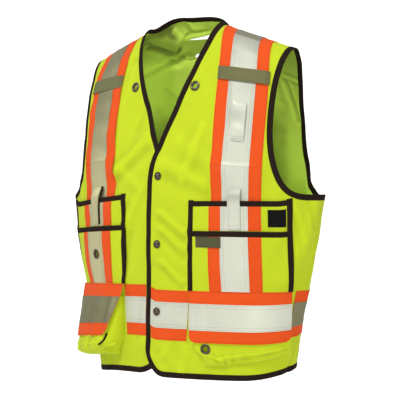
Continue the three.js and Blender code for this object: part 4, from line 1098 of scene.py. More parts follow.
def inside_shade(p):
    """Painted shade of the back's inside: deep in the neck opening, by the armholes and at the right of the
    neck; where it is below 0 it is painted light.
    """
    x, z = p[..., 0], p[..., 2]
    right, middle, left = (along(INSIDE_SHADE, z, column) for column in (1, 2, 3))
    across = mix(mix(middle, right, smooth(-x, *SHADE_RIGHT_X)), left, smooth(x, *SHADE_LEFT_X))
    return across + NECK_SHADE * smooth(-x, *NECK_SHADE_X) * smooth(z, *NECK_SHADE_Z)


def in_slot(p):
    """Cells of the back panel left open by the slot."""
    x, y, z = np.moveaxis(cell_middles(p), -1, 0)
    across = np.abs(x - NECK_SHIFT) / (SLOT_HALF + SLOT_HIDDEN)
    up = np.abs(z - slot_lean(x) - SLOT_MIDDLE) / (SLOT_RISE + SLOT_HIDDEN)
    return (across**SLOT_POWER + up**SLOT_POWER < 1) & (y > SLOT_FRONT_Y)


def back_panel():
    c = np.linspace(-1, 1, BACK_COLS)[None]
    lower = np.linspace(HEM_Z + EDGE_INSET, UNDERARM_Z, BACK_LOW_ROWS)[:, None]
    top_x = np.sign(c) * x_at(panel_angles(0, np.array([[LAST_H]]), ARM_BACK, np.abs(c)), UNDERARM_Z)
    most = climb(height_at_rise(back_neck_rise(top_x)))
    past_neck = np.abs(top_x - NECK_SHIFT) - NECK_HALF
    inset = mix(NECK_INSET, 1 - TOP_SHARE, smooth(past_neck, 0, NECK_INSET_FADE))
    upper = UNDERARM_Z * (1 - climb_rows(BACK_TOP_ROWS)[1:, None] * most * (1 - inset))
    h = np.concatenate([np.broadcast_to(lower, (BACK_LOW_ROWS, BACK_COLS)), upper])
    q = np.where(c < 0, -1, 1) * (np.pi - panel_angles(0, h, ARM_BACK, np.abs(c)))
    p, n = spot(q, h)
    low = valley(q, h)
    # Painted shade and painted light on the inside: the crests and creases turned round, plus those of
    # inside_shade, held at SHADE_LEAST
    inside = np.maximum(np.maximum(-low, -CREST) + inside_shade(p), SHADE_LEAST)
    sheet("cloth_back", p, n, 0, -CLOTH, "lime", "back_panel", in_slot(p), "lime_inside", low, inside)
    return grid_tree(p)


def back_at(x, z, off=0.0):
    h = z_height(x, z)
    return spot(angle_at_x(x, h, True), h, off)


# Eyelet ring: radius and height round its section
EYELET_PROFILE = (
    (5.4, -2.6), (5.9, -2.6), (6.0, -0.2), (10.2, -0.2), (10.6, 0.3), (10.4, 0.9), (9.6, 1.5),
    (8.5, 1.9), (7.3, 1.95), (6.3, 1.6), (5.6, 0.9), (5.4, 0.2),
)
EYELET_SEAT = 0.4
NECK_EYELETS = {1: (78, -134), -1: (75, -128)}


def eyelet(name, at, node, seat=EYELET_SEAT):
    p, n = at
    turned(name, EYELET_PROFILE, p + n * seat, n, node)


cloth_trees = {}
for side, label in SIDES:
    x, z = NECK_EYELETS[side]
    at = x_spot(side, np.array(x), z_height(side * x, z))
    cloth_trees[side] = front_panel(side, label, at[0])
    eyelet(f"eyelet_neck_{label}", at, f"neck_eyelet_{label}")
cloth_trees[0] = back_panel()

# Strip of the same cloth across the slot on the inside, its top edge standing inward
STRIP_COLS, STRIP_ROWS, STRIP_HALF_THICK = 52, 13, 0.6
STRIP_REACH, STRIP_SEWN, STRIP_SHADE = 1.3, (44, 68), 0.7
STRIP_GAP, STRIP_GAP_RISE, STRIP_GAP_RANGE = 0.6, 0.105, (-3, 10)
STRIP_LEFT, STRIP_FOOT, STRIP_FOOT_LEFT, STRIP_FOOT_X = -56, -45, -55, (-47, -30)
STRIP_UNDER, STRIP_STAND, STRIP_TOP_STAND = CLOTH + 0.8, 1, 11


def slot_strip():
    x = NECK_SHIFT + SLOT_HALF * np.linspace(-STRIP_REACH, STRIP_REACH, STRIP_COLS)
    gap = np.clip(STRIP_GAP + STRIP_GAP_RISE * (x - STRIP_LEFT), *STRIP_GAP_RANGE)
    top = SLOT_MIDDLE + SLOT_RISE + slot_lean(x) - gap
    foot = mix(STRIP_FOOT_LEFT, STRIP_FOOT, smooth(x, *STRIP_FOOT_X))
    rise = np.linspace(0, 1, STRIP_ROWS)[:, None]
    loose = 1 - smooth(np.abs(x - NECK_SHIFT), *STRIP_SEWN)
    z = mix(foot, top, rise)
    p, _ = back_at(np.broadcast_to(x, z.shape), z, -STRIP_UNDER)
    p[..., 1] -= STRIP_STAND + (STRIP_TOP_STAND - STRIP_STAND) * rise * loose
    k = STRIP_COLS // 2
    facing = unit(np.cross(p[1, k] - p[0, k], p[0, k + 1] - p[0, k]))
    n = np.broadcast_to(facing * np.sign(facing[1]), p.shape)
    # The whole strip is darkened by painted shade
    sheet("slot_strip", p, n, STRIP_HALF_THICK, -STRIP_HALF_THICK, "lime_inside", "back_slot_strip",
          shade=np.full(z.shape, STRIP_SHADE))


def slot_welt():
    turn = np.linspace(0, math.tau, WELT_TURNS, endpoint=False)
    x = NECK_SHIFT + SLOT_HALF * squared(np.cos(turn), 2 / SLOT_POWER)
    z = SLOT_MIDDLE + SLOT_RISE * squared(np.sin(turn), 2 / SLOT_POWER)
    p, n = even(*back_at(x, z + slot_lean(x)), WELT_STEP, True)
    away = inward_of(p, n, 1, True)
    away = away * np.sign(np.sum(away * (p - p.mean(0)), 1)).mean()
    binding("slot_welt", p, n, away, loop=True, width=WELT_WIDTH, thick=WELT_THICK, look="lime_inside",
            trees=(cloth_trees[0],))


slot_strip()
slot_welt()

# Bound edges of the body
EDGE_STEP = 2.6
CORNER_STEPS, EDGE_STEPS, NECK_STEPS, ARM_STEPS, HEM_STEPS = 24, 120, 160, 200, 300
BACK_NECK_STEPS, BACK_NECK_END = 90, 0.04
BIND_SEAM_SINK = 0.2
BIND_SEAM_LIFT = BIND_THICK / 2 - CLOTH / 2 - BIND_SEAM_SINK
SEAM_SHARE = 2


def joined(*stretches):
    """Stretches of a path, each as points and normals, end to end."""
    return (np.concatenate(parts) for parts in zip(*stretches))


def front_edge(side):
    corner = HEM_Z + HEM_CORNER[side] * (1 - np.sin(np.linspace(QUARTER, 0, CORNER_STEPS)))
    straight = np.linspace(HEM_Z + HEM_CORNER[side], UNDERARM_Z, EDGE_STEPS)[1:]
    neck = UNDERARM_Z * (1 - np.linspace(0, 1, NECK_STEPS)[1:] * TOP_SHARE)
    h = np.concatenate([corner, straight, neck])
    return x_spot(side, edge_x(h, side), h)


def neck_path():
    x = NECK_SHIFT + NECK_HALF * np.cos(np.linspace(BACK_NECK_END, np.pi - BACK_NECK_END, BACK_NECK_STEPS))
    h = height_at_rise(back_neck_rise(x))
    back = spot(angle_at_x(x, h, True), h)
    down = [v[::-1] for v in front_edge(-1)]
    return even(*joined(front_edge(1), back, down), EDGE_STEP)


def arm_path(side):
    h = UNDERARM_Z * (1 - np.linspace(0, 1, ARM_STEPS) ** 2 * TOP_SHARE)
    front = spot(side * angle_at_x(arm_x(rise_of(h), ARM_FRONT), h), h)
    back = spot(side * angle_at_x(arm_x(rise_of(h), ARM_BACK), h, True), h)
    return even(*joined(front, [v[-2:0:-1] for v in back]), EDGE_STEP, True)


def hem_path():
    """Hem line from the left front corner round to the right one, with the way up the cloth."""
    left, right = (angle_at_x(edge_x(HEM_Z, side), HEM_Z) for side, _ in SIDES)
    q = np.concatenate([np.linspace(left, np.pi, HEM_STEPS), np.linspace(-np.pi, -right, HEM_STEPS)[1:]])
    lift = np.where((q > 0) & (q < QUARTER), lap_lift(1, x_at(q, HEM_Z)), 0)
    p, n = spot(q, HEM_Z, lift)
    above, _ = spot(q, HEM_Z + BIND, lift)
    _, up = even(p, above - p, EDGE_STEP)
    return (*even(p, n, EDGE_STEP), up)


def bound_edge(name, p, n, inward, node, loop=False):
    trees = tuple(cloth_trees.values())
    binding(name, p, n, inward, node, loop, trees=trees)
    under = settle(p, n, inward, BIND, trees)[:, SEAM_SHARE]
    line = p + inward * BIND * SETTLE_SHARES[SEAM_SHARE] + n * under[:, None]
    ring = np.arange(len(p) + loop) % len(p)
    seam("thread_dark", line[ring], n[ring], BIND_SEAM_LIFT)


p, n = neck_path()
bound_edge("bound_neck_and_front", p, n, inward_of(p, n, 1), "neck_front_binding")
for side, label in SIDES:
    p, n = arm_path(side)
    inward = inward_of(p, n, -side, True)
    bound_edge(f"bound_armhole_{label}", p, n, inward, f"armhole_binding_{label}", True)
bound_edge("bound_hem", *hem_path(), "hem_binding")

# Marking tapes: each look's lines across, heights round the waist, stand-off and thickness
ORANGE_OFF = LAYER_GAP
SILVER_OFF = LAYER_GAP * 2 + ORANGE_THICK
TAPE_TOP = SILVER_OFF + SILVER_THICK
TAPE_PAIR = {
    "orange": (("tape_in", "tape_out"), (BAND_BOTTOM, BAND_TOP), ORANGE_OFF, ORANGE_THICK),
    "silver": (("silver_in", "silver_out"), (BAND_SILVER_BOTTOM, BAND_SILVER_TOP), SILVER_OFF, SILVER_THICK),
}
TAPE_THREAD = {"orange": ("thread_orange", (2.2,)), "silver": ("thread_grey", (2.4, 7.5))}
TAPE_SEAM_LIFT, JOIN_SEAM_LIFT = 0.1, 0.15
TAPE_COLS = 18


def tape(name, p, n, thick, look, node=None, holes=(), shade=None):
    """A sewn tape: its columns run across it, and its stitches a few millimetres in from its edges."""
    thread, insets = TAPE_THREAD[look.split("_")[0]]
    cells = p.shape[1] - 1
    for inset in insets:
        share = inset / np.linalg.norm(p[0, -1] - p[0, 0]) * cells
        for column in (share, cells - share):
            k = min(int(column), cells - 1)
            seam(thread, mix(p[:, k], p[:, k + 1], column - k), n[:, k], thick + TAPE_SEAM_LIFT)
    sheet(name, p, n, thick, 0, look, node, eyelet_holes(p, holes), shade=shade)


# Shoulder tapes: a front length with a lapped join on the chest, and one from the shoulder down the back
TAPE_FOOT, TAPE_END = -392, BAND_TOP + 0.5
FOOT_STEPS, CLIMB_STEPS, OVER_STEPS, BACK_STEPS, DOWN_STEPS = 10, 110, 24, 100, 50
SHOULDER_JOIN, SHOULDER_LAP, SHOULDER_STEP, SHOULDER_EASE = 0.84, 0.012, 1.0, 0.1
RIDGE_FRONT, RIDGE_BACK = 0.9995, 0.998
# Heights over which the painted shade of the front tapes and the chest loop rises
PAINTED_TAPE_SHADE_H = {1: (-330, -130), -1: (-350, -190)}
JOIN_H, JOIN_STEP, JOIN_SEAM = {1: -312, -1: -303}, 1.5, 3
JOIN_EDGE, JOIN_FADE = (-0.5, 1.5), (8, 40)
TAPE_WAVE, WAVE_UP, WAVE_DOWN = {1: 0.1, -1: 0.9}, (-345, -300), (90, 150)
TAPE_WIDTH = FRONT_LINE["tape_out"] - FRONT_LINE["tape_in"]

# Waves along a tape: depth, length, slant across it, phase
TAPE_WAVES = ((1.0, 11.0, 2.6, 0.0), (0.7, 6.3, -3.4, 1.0))


def climbed(first, last, steps):
    return UNDERARM_Z * (1 - np.linspace(first, last, steps))


def shoulder_lines(line, side):
    """Angles and heights of a tape line: the front length, and the one over the shoulder to the waist."""
    foot = np.linspace(TAPE_FOOT, UNDERARM_Z, FOOT_STEPS)[:-1]
    front = np.concatenate([foot, climbed(0, SHOULDER_JOIN, CLIMB_STEPS)])
    over = climbed(SHOULDER_JOIN - SHOULDER_LAP, RIDGE_FRONT, OVER_STEPS)
    down = np.linspace(UNDERARM_Z, TAPE_END, DOWN_STEPS)[1:]
    behind = np.concatenate([climbed(RIDGE_BACK, 0, BACK_STEPS), down])
    q_behind = np.concatenate([front_tape_q(line, over, side), back_tape_q(line, behind, side)])
    return (front_tape_q(line, front, side), front), (q_behind, np.concatenate([over, behind]))


def tape_lift(h, share, side):
    """The lower length laps over the upper one at the join, and the wearer's right tape is wavy."""
    below = JOIN_H[side] - h
    lap = JOIN_STEP * smooth(below, *JOIN_EDGE) * (1 - smooth(below, *JOIN_FADE))
    wave = 0
    for depth, length, slant, phase in TAPE_WAVES:
        wave = wave + depth * (1 + np.sin(h / length + slant * share + phase))
    over = SHOULDER_STEP * smooth(climb(h), SHOULDER_JOIN - SHOULDER_EASE, SHOULDER_JOIN)
    return lap + TAPE_WAVE[side] * wave * (smooth(h, *WAVE_UP) * smooth(-h, *WAVE_DOWN)) + over


for side, label in SIDES:
    for look, (lines, _, off, thick) in TAPE_PAIR.items():
        w = np.linspace(0, 1, TAPE_COLS)[None]
        girth = mix(FRONT_LINE[lines[0]], FRONT_LINE[lines[1]], w)
        share = (girth - FRONT_LINE["tape_in"]) / TAPE_WIDTH
        inner, outer = (shoulder_lines(line, side) for line in lines)
        for length, (q_in, h), (q_out, _) in zip(("front", "back"), inner, outer):
            in_front = length == "front"
            q = mix(q_in[:, None], q_out[:, None], w)
            h = np.broadcast_to(h[:, None], q.shape)
            p, n = spot(q, h, off + tape_lift(h, share, side) if in_front else off)
            look_or_painted_shade_copy = look
            # Darker copies of the silver for the back lengths and the wearer's right front: painted shade
            if look == "silver":
                look_or_painted_shade_copy = "silver_shade" if not in_front else "silver" if side > 0 else "silver_off_axis"
            node = f"shoulder_tape_{look}_{label}" if in_front else None
            # Painted shade: the front tapes grow darker towards the shoulder, where they turn away from the
            # lights
            shade = smooth(h, *PAINTED_TAPE_SHADE_H[side])
            tape(f"tape_{look}_{length}_{label}", p, n, thick, look_or_painted_shade_copy, node, shade=shade)
            if in_front:
                row = int(np.argmin(np.abs(h[:, 0] - JOIN_H[side] + JOIN_SEAM)))
                seams(TAPE_THREAD[look][0], p, n, thick + JOIN_SEAM_LIFT, rows=(row,))

# Waist band: round the back between the pockets, and a short length on each front
BAND_STEPS, BAND_FRONT_STEPS = 130, 40
BAND_START = {1: BIND - LAP[1] + 0.6, -1: LAP[1] + 3}
BAND_END = {1: POCKET_IN[1] - 3, -1: POCKET_IN[-1] + 1}


def band(name, q, heights, off, thick, look, node, side=0):
    """A level tape: columns up the cloth, rows along the girth."""
    q, h = np.meshgrid(q, np.linspace(*heights, TAPE_COLS), indexing="ij")
    p, n = spot(q, h, off + lap_lift(side, x_at(q, h)))
    tape(name, p, n, thick, look, node)


for look, (_, heights, off, thick) in TAPE_PAIR.items():
    middle = sum(heights) / 2
    end = angle_at_girth(POCKET_OUT, middle)
    q = np.concatenate([np.linspace(end, np.pi, BAND_STEPS), np.linspace(-np.pi, -end, BAND_STEPS)[1:]])
    # The silver round the back is a darker copy: painted shade
    look_or_painted_shade_copy = "silver_dull" if look == "silver" else look
    band(f"band_{look}_around", q, heights, off, thick, look_or_painted_shade_copy, f"waist_band_{look}_around")
    for side, label in SIDES:
        x = np.linspace(BAND_START[side], BAND_END[side], BAND_FRONT_STEPS)
        node = f"waist_band_{look}_front_{label}"
        band(f"band_{look}_{label}", side * angle_at_x(x, middle), heights, off, thick, look, node, side)

# Chest pockets: two layers that stand off the front, most in the middle of their girth
POCKET_BULGE, SECOND_BULGE = {1: 5, -1: 6}, 3
POCKET_OFF, SECOND_OFF = 0.6, POCKET_CLOTH + 0.7
HUMP = ((84, 0), (123, 0.8), (175, 1), (228, 0.8), (288, 0))
POCKET_PINCH, SAG_POWER = 78, 0.6
POCKET_COLS, POCKET_ROWS, POCKET_TAPE_COLS, TRIM_COLS, LIP_STEPS = 72, 60, 24, 9, 150
LIP, LIP_INSET, LIP_SEAM = 10.5, 9, 0.8
TRIM_CROWN, TRIM_POWER, TRIM_OFF, TRIM_THICK = 1.6, 5, POCKET_CLOTH + 0.2, 1.2
TRIM_STEP = (POCKET_FRONT_TOP - 2, POCKET_FRONT_TOP + 10)
TRIM_SEAMS, TRIM_SEAM_SINK = (2, -3), 0.1
POCKET_EYELET = (171, -479)


def hump(girth):
    return np.maximum(along(HUMP, girth, 1), 0)


def back_layer_off(side, girth, z):
    sag = smooth(z, POCKET_BOTTOM, POCKET_BOTTOM + POCKET_PINCH) ** SAG_POWER
    return POCKET_OFF + POCKET_BULGE[side] * hump(girth) * sag


def front_layer_off(side, girth, z):
    sag = smooth(z, POCKET_BOTTOM, POCKET_FRONT_TOP) ** SAG_POWER
    return back_layer_off(side, girth, z) + SECOND_OFF + SECOND_BULGE * hump(girth) * sag


def side_trim_off(side, girth, z):
    lower = front_layer_off(side, girth, np.minimum(z, POCKET_FRONT_TOP))
    return mix(lower, back_layer_off(side, girth, z), smooth(z, *TRIM_STEP))


def layer_grid(side, girths, heights, off):
    g, z = np.meshgrid(girths, heights)
    return front_spot(side, g, z, off(side, g, z))


def pocket_trim(name, side, start, heights, node):
    """A flat bound strip with rounded edges down a pocket's side."""
    p, n = layer_grid(side, np.linspace(start, start + POCKET_BIND, TRIM_COLS), heights, side_trim_off)
    crown = TRIM_CROWN * (1 - np.abs(np.linspace(-1, 1, TRIM_COLS)) ** TRIM_POWER)
    p = p + n * (TRIM_OFF + crown)[None, :, None]
    seams("thread_dark", p, n, -TRIM_SEAM_SINK, columns=TRIM_SEAMS)
    sheet(name, p, n, 0, -TRIM_THICK, "binding", node)


def lip_binding(name, side, z, off, node):
    """The bound top edge of a pocket layer."""
    g = np.linspace(POCKET_IN[side] + LIP_INSET, POCKET_OUT - LIP_INSET, LIP_STEPS)
    p, n = front_spot(side, g, z, off(side, g, z) + POCKET_CLOTH)
    below, _ = front_spot(side, g, z - POCKET_BIND, off(side, g, z - POCKET_BIND) + POCKET_CLOTH)
    _, inward = even(p, below - p, EDGE_STEP)
    p, n = even(p, n, EDGE_STEP)
    binding(name, p, n, inward, node, width=POCKET_BIND)
    seam("thread_dark", p + inward * POCKET_BIND * LIP_SEAM, n, BIND_SEAM_LIFT)


LAYERS = {"back": (POCKET_TOP, back_layer_off), "front": (POCKET_FRONT_TOP, front_layer_off)}
TAPE_RUNS = {
    "upper": (np.linspace(POCKET_FRONT_TOP + 1, POCKET_TOP - LIP, 20), back_layer_off),
    "lower": (np.linspace(POCKET_BOTTOM, POCKET_FRONT_TOP - LIP, 40), front_layer_off),
}
TRIM_HEIGHTS = np.concatenate([
    np.linspace(POCKET_BOTTOM, POCKET_FRONT_TOP - 3, 40),
    np.linspace(POCKET_FRONT_TOP - 2, POCKET_TOP + 1, 34),
])
g, z = np.array(POCKET_EYELET, float)
pocket_eye = front_spot(-1, g, z, front_layer_off(-1, g, z) + POCKET_CLOTH)
pocket_holes = {1: [], -1: [pocket_eye[0]]}
for side, label in SIDES:
    girths = np.linspace(POCKET_IN[side], POCKET_OUT, POCKET_COLS)
    for kind, (top, off) in LAYERS.items():
        p, n = layer_grid(side, girths, np.linspace(POCKET_BOTTOM, top - EDGE_INSET, POCKET_ROWS), off)
        holes = eyelet_holes(p, pocket_holes[side] if kind == "front" else [])
        node = f"chest_pocket_{kind}_layer_{label}"
        sheet(f"pocket_{kind}_{label}", p, n, POCKET_CLOTH, 0, "lime", node, holes)
    for level, (heights, layer_off) in TAPE_RUNS.items():
        for look, (lines, _, off, thick) in TAPE_PAIR.items():
            girths = np.linspace(FRONT_LINE[lines[0]], FRONT_LINE[lines[1]], POCKET_TAPE_COLS)
            p, n = layer_grid(side, girths, heights, layer_off)
            p = p + n * (POCKET_CLOTH + off)
            holes = pocket_holes[side] if level == "lower" else []
            # The silver on the wearer's right pocket is a darker, warmer copy: painted shade
            look_or_painted_shade_copy = "silver_off_axis" if look == "silver" and side < 0 else look
            node = f"pocket_tape_{look}_{level}_{label}"
            tape(f"pocket_{look}_{level}_{label}", p, n, thick, look_or_painted_shade_copy, node, holes)
    for border, start in (("inner", POCKET_IN[side]), ("outer", POCKET_OUT - POCKET_BIND)):
        node = f"pocket_binding_{border}_{label}"
        pocket_trim(f"pocket_edge_{border}_{label}", side, start, TRIM_HEIGHTS, node)
    for name, level, kind in (("pocket_lip", "top", "back"), ("pocket_front_lip", "front", "front")):
        lip_binding(f"{name}_{label}", side, *LAYERS[kind], f"pocket_binding_{level}_{label}")
eyelet("eyelet_pocket", pocket_eye, "pocket_eyelet_right", TAPE_TOP + EYELET_SEAT)

# Cargo flaps: height, stand-off on the wearer's left and right
FLAP_OFF = ((-660, 13, 44), (-641, 12.5, 39), (-617, 10.5, 31), (-565, 5, 13), (-540, 1.6, 5))
FLAP_IN, FLAP_OUT = {1: 79, -1: 86}, 286
FLAP_TOP, FLAP_CORNER = POCKET_BOTTOM - 0.2, 12
FLAP_TAPER, TAPER_DOWN = {1: 13, -1: 0}, (545, 640)
FLAP_ROWS, FLAP_TAPE_ROWS, FLAP_COLS = 44, 40, 80
SWAY, SWAY_DOWN = {1: 4, -1: 20}, (545, 650)

# Waves of each flap's lower part: girth, width, depth
FLAP_WAVES = {
    1: ((104, 9, 1.4), (122, 9, -1.0)),
    -1: ((108, 8, 2.6), (124, 9, -2.4), (150, 9, 3.0), (170, 11, -3.0), (226, 10, 1.8), (250, 9, -1.6)),
}
WAVE_DEPTH_DOWN = (545, 600)

# Cargo bags. Creases: girth and height of both ends, width, depth
BAG_IN, BAG_OUT = {1: 88, -1: 92}, 280
BAG_FOOT, BAG_TOP, BAG_ROUND = -697, -565, 20
BAG_ROWS, BAG_COLS, BAG_COL_POWER, BAG_CLOTH = 90, 120, 1.35, 1.1
BAG_CHAMFER, CHAMFER_DOWN, CHAMFER_RUN = {1: 24, -1: 14}, (650, 692), 90
BAG_GATHER, GATHER_DOWN = {1: 0.9, -1: 1.6}, (660, 688)
PLEAT, PLEAT_DRIFT, PLEAT_DRIFT_LENGTH = 4.6, 1.9, 23
WIDE_PLEAT, WIDE_PLEAT_SHARE, WIDE_PLEAT_PHASE = 9.7, 0.6, 0.8
BAG_END, BAG_SLOPE, SLOPE_DOWN = 10, {1: 10, -1: 48}, (636, 684)
BAG_BELLY, BELLY_DOWN = 0.06, (641, 665)
BAG_SEWN_OFF, BAG_LEAST_OFF, BAG_UNDER_FLAP = 1.8, 2.2, 0.9
BAG_DROOP, DROOP_DOWN = {1: (8, 24), -1: (14, 14)}, (645, 690)
BAG_CREASES = {
    1: ((120, -684, 250, -664, 5, 2.0), (140, -694, 270, -676, 5, -2.0), (100, -668, 132, -690, 5, 2.5)),
    -1: ((150, -656, 156, -690, 6, 2.0), (190, -656, 184, -690, 7, -2.0), (230, -656, 236, -688, 6, 2.0)),
}

# Dents in the inner side of the right bag: distance up the side and height of both ends, width, depth
BAG_SIDE, BAG_DENT_TO, BAG_DENT_FADE = 40, 180, 0.1
BAG_DENTS = (
    (20, -676, 7, -670, 5, -5.0),
    (7, -670, 3, -667, 4, -4.0),
    (15, -690, 7, -682, 4, 5.0),
    (7, -682, 4, -675, 3.5, 5.0),
    (4, -675, 3, -688, 3.5, 4.0),
)
PIPING_Z, PIPING_STEPS, PIPING_SHARE, PIPING_LIFT = (-637, -662), 24, 0.58, 0.6
PIPING_WIDTH, PIPING_THICK = 4, 3.4
CARGO_EYELET, CARGO_EYELET_SINK, CARGO_EYELET_SEAT = (116, -653), 0.6, 0.8


def flap_off(side, z):
    return along(FLAP_OFF, z, 1 if side > 0 else 2)


def sway(side, z):
    return SWAY[side] * smooth(-z, *SWAY_DOWN)


def flap_grid(side, low, high, rows, off=0.0):
    z, w = np.meshgrid(np.linspace(low, high, rows), np.linspace(0, 1, FLAP_COLS), indexing="ij")
    near_foot = np.clip((BAND_BOTTOM + FLAP_CORNER - z) / FLAP_CORNER, 0, 1)
    round_in = FLAP_CORNER * (1 - np.sqrt(1 - near_foot**2))
    outer = FLAP_OUT - round_in - FLAP_TAPER[side] * smooth(-z, *TAPER_DOWN)
    g = mix(FLAP_IN[side] + round_in, outer, w) + sway(side, z)
    wave = sum(depth * np.exp(-((g - at) / width) ** 2) for at, width, depth in FLAP_WAVES[side])
    return front_spot(side, g, z, flap_off(side, z) + off + wave * smooth(-z, *WAVE_DEPTH_DOWN))


def creased(rows, girth, z):
    return sum(
        crease_depth(girth - from_g, z - from_z, to_g - from_g, to_z - from_z, width, depth)
        for from_g, from_z, to_g, to_z, width, depth in rows)


def bag_slope(side, z):
    return mix(BAG_END, BAG_SLOPE[side], smooth(-z, *SLOPE_DOWN))


def bag_ends(side, girth, z):
    """0 at the bag's sewn sides, 1 where it stands off fully."""
    inner = (girth - BAG_IN[side]) / bag_slope(side, z)
    return np.clip(np.minimum(inner, (BAG_OUT - girth) / BAG_END), 0, 1)


def bag_off(side, girth, z):
    s = np.clip((z - BAG_FOOT) / BAG_ROUND, 0, 1)
    belly = np.sqrt(1 - (1 - s) ** 2) * (1 + BAG_BELLY * smooth(-z, *BELLY_DOWN))
    ends = bag_ends(side, girth, z)
    full = np.maximum((flap_off(side, z) - BAG_UNDER_FLAP) * belly, BAG_LEAST_OFF)
    pleat = np.sin(girth / PLEAT + PLEAT_DRIFT * np.sin(girth / PLEAT_DRIFT_LENGTH))
    pleat = pleat + WIDE_PLEAT_SHARE * np.sin(girth / WIDE_PLEAT + WIDE_PLEAT_PHASE)
    gather = BAG_GATHER[side] * pleat * smooth(-z, *GATHER_DOWN) * ends
    crumple = creased(BAG_CREASES[side], girth, z) * smooth(ends, 0, 0.5)
    return mix(BAG_SEWN_OFF, full, np.sqrt(1 - (1 - ends) ** 2)) + gather + crumple


def bag_droop(side, girth, z):
    share = (girth - BAG_IN[side]) / (BAG_OUT - BAG_IN[side])
    return mix(*BAG_DROOP[side], share) * smooth(-z, *DROOP_DOWN)


def bag_spot(side, girth, z, off=0.0):
    inner_side = 1 - smooth(girth, BAG_IN[side], BAG_IN[side] + CHAMFER_RUN)
    chamfer = BAG_CHAMFER[side] * smooth(-z, *CHAMFER_DOWN) * inner_side
    ends = bag_ends(side, girth, z)
    across = girth + chamfer + sway(side, z) * smooth(ends, 0, 1)
    if side < 0:
        dented = smooth(ends, 0, BAG_DENT_FADE) * (girth < BAG_DENT_TO)
        across = across + creased(BAG_DENTS, ends * BAG_SIDE, z) * dented
    return front_spot(side, across, z + bag_droop(side, girth, z), bag_off(side, girth, z) + off)


g, z = np.array(CARGO_EYELET, float)
cargo_eye = front_spot(1, g, z, flap_off(1, z) - CARGO_EYELET_SINK)
for side, label in SIDES:
    girths = BAG_IN[side] + (BAG_OUT - BAG_IN[side]) * np.linspace(0, 1, BAG_COLS) ** BAG_COL_POWER
    g, z = np.meshgrid(girths, np.linspace(BAG_FOOT, BAG_TOP, BAG_ROWS))
    p, n = bag_spot(side, g, z)
    # Painted shade in the bags' creases and painted light on their crests, turned round on the inside
    low = grid_valley(p, n)
    holes = eyelet_holes(p, [cargo_eye[0]] if side > 0 else [])
    sheet(f"cargo_bag_{label}", p, n, 0, -BAG_CLOTH, "lime", f"cargo_pocket_{label}", holes,
          shade=low, shade_under=-low)
    p, n = flap_grid(side, BAND_BOTTOM, FLAP_TOP, FLAP_ROWS)
    sheet(f"cargo_flap_cloth_{label}", p, n, POCKET_CLOTH, 0, "lime", f"cargo_flap_{label}")
    for look, (_, (low_z, high_z), off, thick) in TAPE_PAIR.items():
        high_z = FLAP_TOP if look == "orange" else high_z
        p, n = flap_grid(side, low_z, high_z, FLAP_TAPE_ROWS, off + POCKET_CLOTH)
        # The silver on the wearer's right flap is a darker copy: painted shade
        look_or_painted_shade_copy = "silver_dull" if look == "silver" and side < 0 else look
        node = f"cargo_flap_{look}_{label}"
        tape(f"flap_{look}_{label}", p.swapaxes(0, 1), n.swapaxes(0, 1), thick, look_or_painted_shade_copy, node)

# Dark piping down the inner edge of the wearer's right bag
z = np.linspace(*PIPING_Z, PIPING_STEPS)
p, n = bag_spot(-1, BAG_IN[-1] + bag_slope(-1, z) * PIPING_SHARE, z, PIPING_LIFT)
binding("cargo_edge_right", p, n, inward_of(p, n, -1), width=PIPING_WIDTH, thick=PIPING_THICK)
eyelet("eyelet_cargo", cargo_eye, "cargo_eyelet_left", CARGO_EYELET_SEAT)

# Microphone tabs across the shoulder tapes
TAB_TOP, TAB_BOTTOM, TAB_REACH, TAB_X = -104, -130, 51, 150
TAB_COLS, TAB_ROWS, TAB_THICK, TAB_SEAMS = 48, 12, 1.3, (1, 3, -4, -2)
TAB_ARCH, ARCH_POWER, TAB_OFF = 2.4, 6, TAPE_TOP + 0.3
TAB_LEAN = {1: 8, -1: 4}
WEBBING_SEAM_LIFT = 0.1


def tape_middle(h, side):
    return (tape_x("silver_in", h, side) + tape_x("silver_out", h, side)) / 2


def arched(share):
    """Height of a strip sewn down at both ends, share being -1 and 1 there."""
    return np.clip(1 - share**ARCH_POWER, 0, 1)


def patch_grid(across, up, cols, rows):
    return np.meshgrid(np.linspace(*across, cols), np.linspace(*up, rows))


for side, label in SIDES:
    across, z = patch_grid((-TAB_REACH, TAB_REACH), (TAB_BOTTOM, TAB_TOP), TAB_COLS, TAB_ROWS)
    x = tape_middle(z_height(TAB_X, z), side) + across
    h = z_height(side * x, z - TAB_LEAN[side] * across / TAB_REACH)
    p, n = x_spot(side, x, h, TAB_OFF + TAB_ARCH * arched(across / TAB_REACH))
    lengthwise = p.swapaxes(0, 1), n.swapaxes(0, 1)
    sheet(f"radio_tab_{label}", *lengthwise, TAB_THICK, 0, "webbing", f"mic_tab_{label}")
    seams("thread_dark", p, n, TAB_THICK + WEBBING_SEAM_LIFT, columns=TAB_SEAMS, short=1)

# Chest loop down the wearer's left tape
LOOP_HALF, LOOP_BOTTOM, LOOP_TOP, LOOP_X = 13, -246, -168, 170
LOOP_COLS, LOOP_ROWS, LOOP_THICK, LOOP_SEAMS = 12, 44, 1.2, (2, 5, -6, -3)
LOOP_ARCH, LOOP_OFF = 2, TAPE_TOP + 0.8
across, z = patch_grid((-LOOP_HALF, LOOP_HALF), (LOOP_BOTTOM, LOOP_TOP), LOOP_COLS, LOOP_ROWS)
h = z_height(LOOP_X, z)
ends = 2 * (z - LOOP_BOTTOM) / (LOOP_TOP - LOOP_BOTTOM) - 1
p, n = x_spot(1, tape_middle(h, 1) + across, h, LOOP_OFF + LOOP_ARCH * arched(ends))
